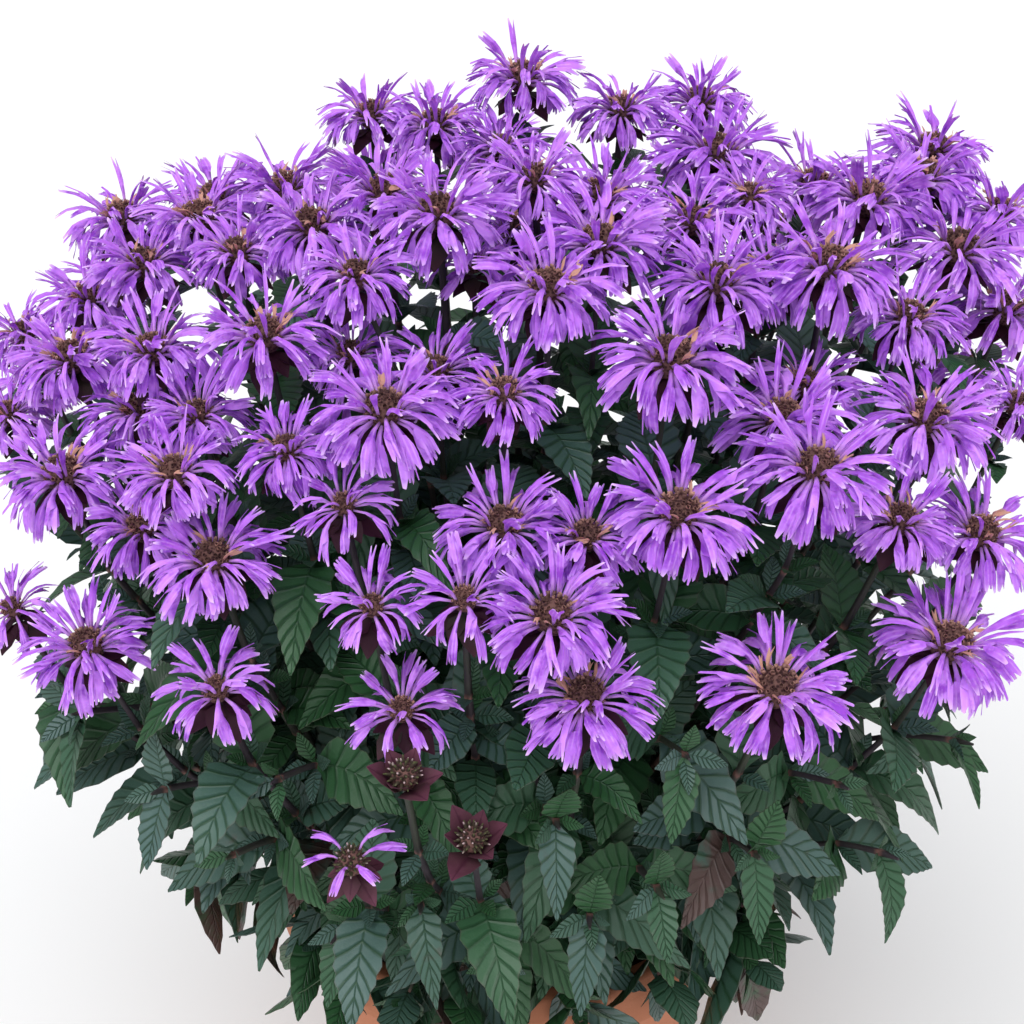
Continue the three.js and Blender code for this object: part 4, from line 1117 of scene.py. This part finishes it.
for crown in crowns:
    hearts = bmesh.new()
    for head in crown.heads:
        axis, across, over = own_frame(head)
        is_bud = head.age in ("bud", "first")
        size = 0.76 if is_bud else head.radius / usual_radius
        size *= 0.8 if head.age == "young" else 1.0
        centre = head.end + axis * heart_foot
        core_places = set_on(points_of(core) * 0.88 * heart_radius * size, centre, axis)
        lay(hearts, core, core_places, reach=0.0, tint=0.3)
        blank, depth, least = (bud, 0.95, 1.1) if is_bud else (cup, 0.72, 0.72)
        tone = heart_draw() ** 1.5
        for k in range(cups):
            height = 1 - depth * (k + 0.5) / cups
            ring = sqrt(1 - height * height)
            way = axis * height + swing(across, over, k * pi * golden + head.spin) * ring
            way = unit(way + 0.14 * (heart_draw() - 0.5) * over + 0.14 * (heart_draw() - 0.5) * across)
            place = centre + way * heart_radius * size * (0.8 + 0.14 * heart_draw())
            grown = size * (least + 0.3 * heart_draw())
            dryness = heart_draw() ** 2
            tint = 1.7 + 0.3 * dryness if is_bud else min(1.0, 0.5 * tone + 0.75 * dryness + 0.25 * ring)
            lay(hearts, blank, set_on(points_of(blank) * grown, place, way, 6 * heart_draw()), tint=tint)
    stood_for = sorted({head.node for head in crown.heads if head.age != "bud"})
    settle("hearts_" + crown.number, hearts, calyx, "foliage", *stood_for)


# Florets. An open head is a shaggy ring of 54 tubular florets. A slim tube widens into a broad, ragged lower
# lip with a small notched tongue, and a narrow upper lip stands off it; the top ones are mere spikes.
def draw_out(shape, faces, *steps):
    """Draws each face out into a finger, in steps of how far it moves and how much it narrows."""
    for shift, narrow in steps:
        faces = bmesh.ops.extrude_discrete_faces(shape, faces=faces)["faces"]
        for face in faces:
            away = -1 if face.calc_center_median().x < 0 else 1
            to_middle = Matrix.Translation(-face.calc_center_median())
            bmesh.ops.scale(shape, verts=face.verts[:], vec=(narrow, narrow, narrow), space=to_middle)
            bmesh.ops.translate(shape, verts=face.verts[:], vec=(shift[0] * away, shift[1], shift[2]))


def floret_blank(name, rings, shoulder, upper_lip, finger_reach):
    shape = rod_of(("reach", "side", "tint"), 4, 1.0, 1.0, 1.0, len(rings) - 2)
    layers = shape.verts.layers.float
    for vertex in shape.verts:
        reach, half, thick = rings[round((vertex.co.z + 0.5) * (len(rings) - 1))]
        vertex.co = (vertex.co.x * half, vertex.co.y * thick, reach)

    def top_faces(ring, side):
        low, high = rings[ring][0], rings[ring + 1][0]
        middles = [(face, face.calc_center_median()) for face in shape.faces]
        return [face for face, at in middles if low < at.z < high and at.y > 0 and at.x * side > 0]

    both = top_faces(shoulder, 1) + top_faces(shoulder, -1)
    if upper_lip:
        draw_out(shape, top_faces(2, upper_lip), ((0.0, 1.5, 0.16), 0.38), ((0.1, 1.2, 0.26), 0.6))
    draw_out(shape, both, ((1.0, -0.3, finger_reach), 0.34))
    for vertex in shape.verts:
        vertex[layers["reach"]], vertex[layers["side"]] = vertex.co.z, vertex.co.x
        if vertex.co.z > rings[2][0]:
            vertex.co.y -= 0.12 * vertex.co.x**2
    return blank_of(name, shape, 70.0)


broad_rings = [
    (0.0, 0.75, 0.75),
    (0.26, 1.05, 0.9),
    (0.42, 1.7, 1.0),
    (0.58, 2.9, 0.6),
    (0.72, 3.1, 0.4),
    (0.8, 0.8, 0.3),
    (0.97, 0.5, 0.25),
]
narrow_rings = [
    (0.0, 0.75, 0.7),
    (0.3, 1.05, 0.85),
    (0.56, 1.6, 0.8),
    (0.76, 1.7, 0.45),
    (0.82, 0.4, 0.25),
]
broad_left = floret_blank("broad_floret_left", broad_rings, 4, -1, 0.2)
broad_right = floret_blank("broad_floret_right", broad_rings, 4, 1, 0.27)
spike = floret_blank("narrow_floret", narrow_rings, 3, 0, 0.26)

# Rows of florets, from the lowest: how many, height and radius of their roots, how they rise at the root and
# at the tip, their length as a share of the head's reach, and their blanks.
floret_rows = {
    "full": [
        (13, 4.0, 9.4, 0.15, -1.5, 1.26, (broad_left, broad_right)),
        (14, 6.0, 10.0, 0.4, -1.1, 1.32, (broad_right, broad_left)),
        (13, 8.0, 9.8, 0.75, -0.5, 1.3, (broad_left, spike, broad_right, spike)),
        (14, 9.8, 9.2, 1.1, 0.5, 1.16, (spike, spike, broad_right)),
    ],
    "young": [
        (9, 4.5, 8.0, 0.3, -1.45, 1.26, (broad_left, broad_right)),
        (9, 7.0, 8.2, 0.75, -0.6, 1.28, (broad_right, spike)),
        (8, 9.5, 7.0, 1.15, 0.5, 1.16, (spike, broad_left)),
    ],
    "first": [(6, 8.0, 7.5, 1.1, -0.9, 1.3, (broad_left, broad_right))],
}

petal = Finish("violet_petal", 0.65, 0.2)
pale = (0.8, 0.44, 0.99)
lilac = petal.blend("tint", (0.46, 0.13, 0.78), (0.68, 0.28, 0.98))
lilac = petal.blend(petal.between(petal.grain(110.0), 0.45, 0.7), lilac, (0.3, 0.06, 0.6))
body = petal.blend(petal.between("reach", 0.0, 0.45), pale, lilac)
lines = petal.sum("SINE", petal.sum("MULTIPLY", "side", 4.0))
worn = petal.between(petal.grain(160.0), 0.35, 0.65)
fine_lines = petal.sum("MULTIPLY", petal.between(lines, -0.2, 1.0), worn)
body = petal.blend(petal.sum("MULTIPLY", fine_lines, 0.45), body, pale)
# Painted highlight: the tips and finger ends of each floret are painted paler, as light catches them.
tip_highlight_tone = petal.blend(petal.between("reach", 0.86, 1.04), body, (0.8, 0.5, 0.98))
petal.colour(petal.blend(petal.between("tint", 1.4, 1.6), tip_highlight_tone, (0.58, 0.3, 0.23)))
petal.relief(petal.grain(400.0, 2.0), 0.2)
petal.surface["Subsurface Weight"].default_value = 0.1
petal.surface["Subsurface Scale"].default_value = 0.004

withered_share, withered_length = 0.28, 0.34
sunk = 1.5  # how deep a floret's root stands in the cushion
floret_draw = draws(93).__next__


def floret_places(points, root, out, axis, length, rise, fall, twist, sway, grown):
    """A floret's points, bent along an arc that leaves its root at one slope and ends at another."""
    s = points[:, 2] * length
    curve = (fall - rise) / length
    slope = rise + curve * s
    forward = (np.sin(slope) - sin(rise)) / curve
    upward = (cos(rise) - np.cos(slope)) / curve
    turned = twist * points[:, 2]
    x = (points[:, 0] * np.cos(turned) - points[:, 1] * np.sin(turned)) * grown + sway * points[:, 2] ** 2
    y = (points[:, 0] * np.sin(turned) + points[:, 1] * np.cos(turned)) * grown
    places = root + np.outer(forward - y * np.sin(slope), out) + np.outer(upward + y * np.cos(slope), axis)
    return places + np.outer(x, np.cross(axis, out))


bunches = {}
for head in heads:
    if head.age != "bud":
        bunches.setdefault(head.node, []).append(head)
for node, members in sorted(bunches.items()):
    florets = bmesh.new()
    for head in members:
        axis, across, over = own_frame(head)
        size = head.radius / usual_radius
        rows = floret_rows[head.age]
        for row, (count, height, radius, rise, fall, share, blanks) in enumerate(rows):
            inset = (radius - sunk) * size
            for k in range(count):
                angle = head.spin + (k + 0.37 * row + 0.6 * (floret_draw() - 0.5)) * 2 * pi / count
                out = swing(across, over, angle)
                root = head.end + out * (radius - sunk) * size + axis * height
                begin = rise + 0.45 * (floret_draw() - 0.5)
                finish = fall + 0.9 * (floret_draw() - 0.5)
                length = (head.radius - inset) * share * (0.78 + 0.32 * floret_draw())
                tip = root + length * swing(out, axis, (begin + finish) / 2)
                length *= max(0.5, share_in_cell(head, root, tip, 0.5, 8.0))
                tint = floret_draw()
                if row == len(rows) - 1 and tint > 1 - withered_share and head.age == "full":
                    tint, length = 1.8, withered_length * length
                twist = (1.0 + 0.5 * row) * (floret_draw() - 0.5)
                sway = 12.0 * (floret_draw() - 0.5)
                grown = size * (0.78 + 0.5 * floret_draw()) * (0.6 if tint > 1 else 1.0)
                blank = blanks[k % len(blanks)]
                bend = (begin, finish, twist, sway, grown)
                places = floret_places(points_of(blank), root, out, axis, length, *bend)
                lay(florets, blank, places, tint=tint)
    settle(node.replace("blooms", "florets"), florets, petal, "petals", node)

bpy.context.view_layer.update()
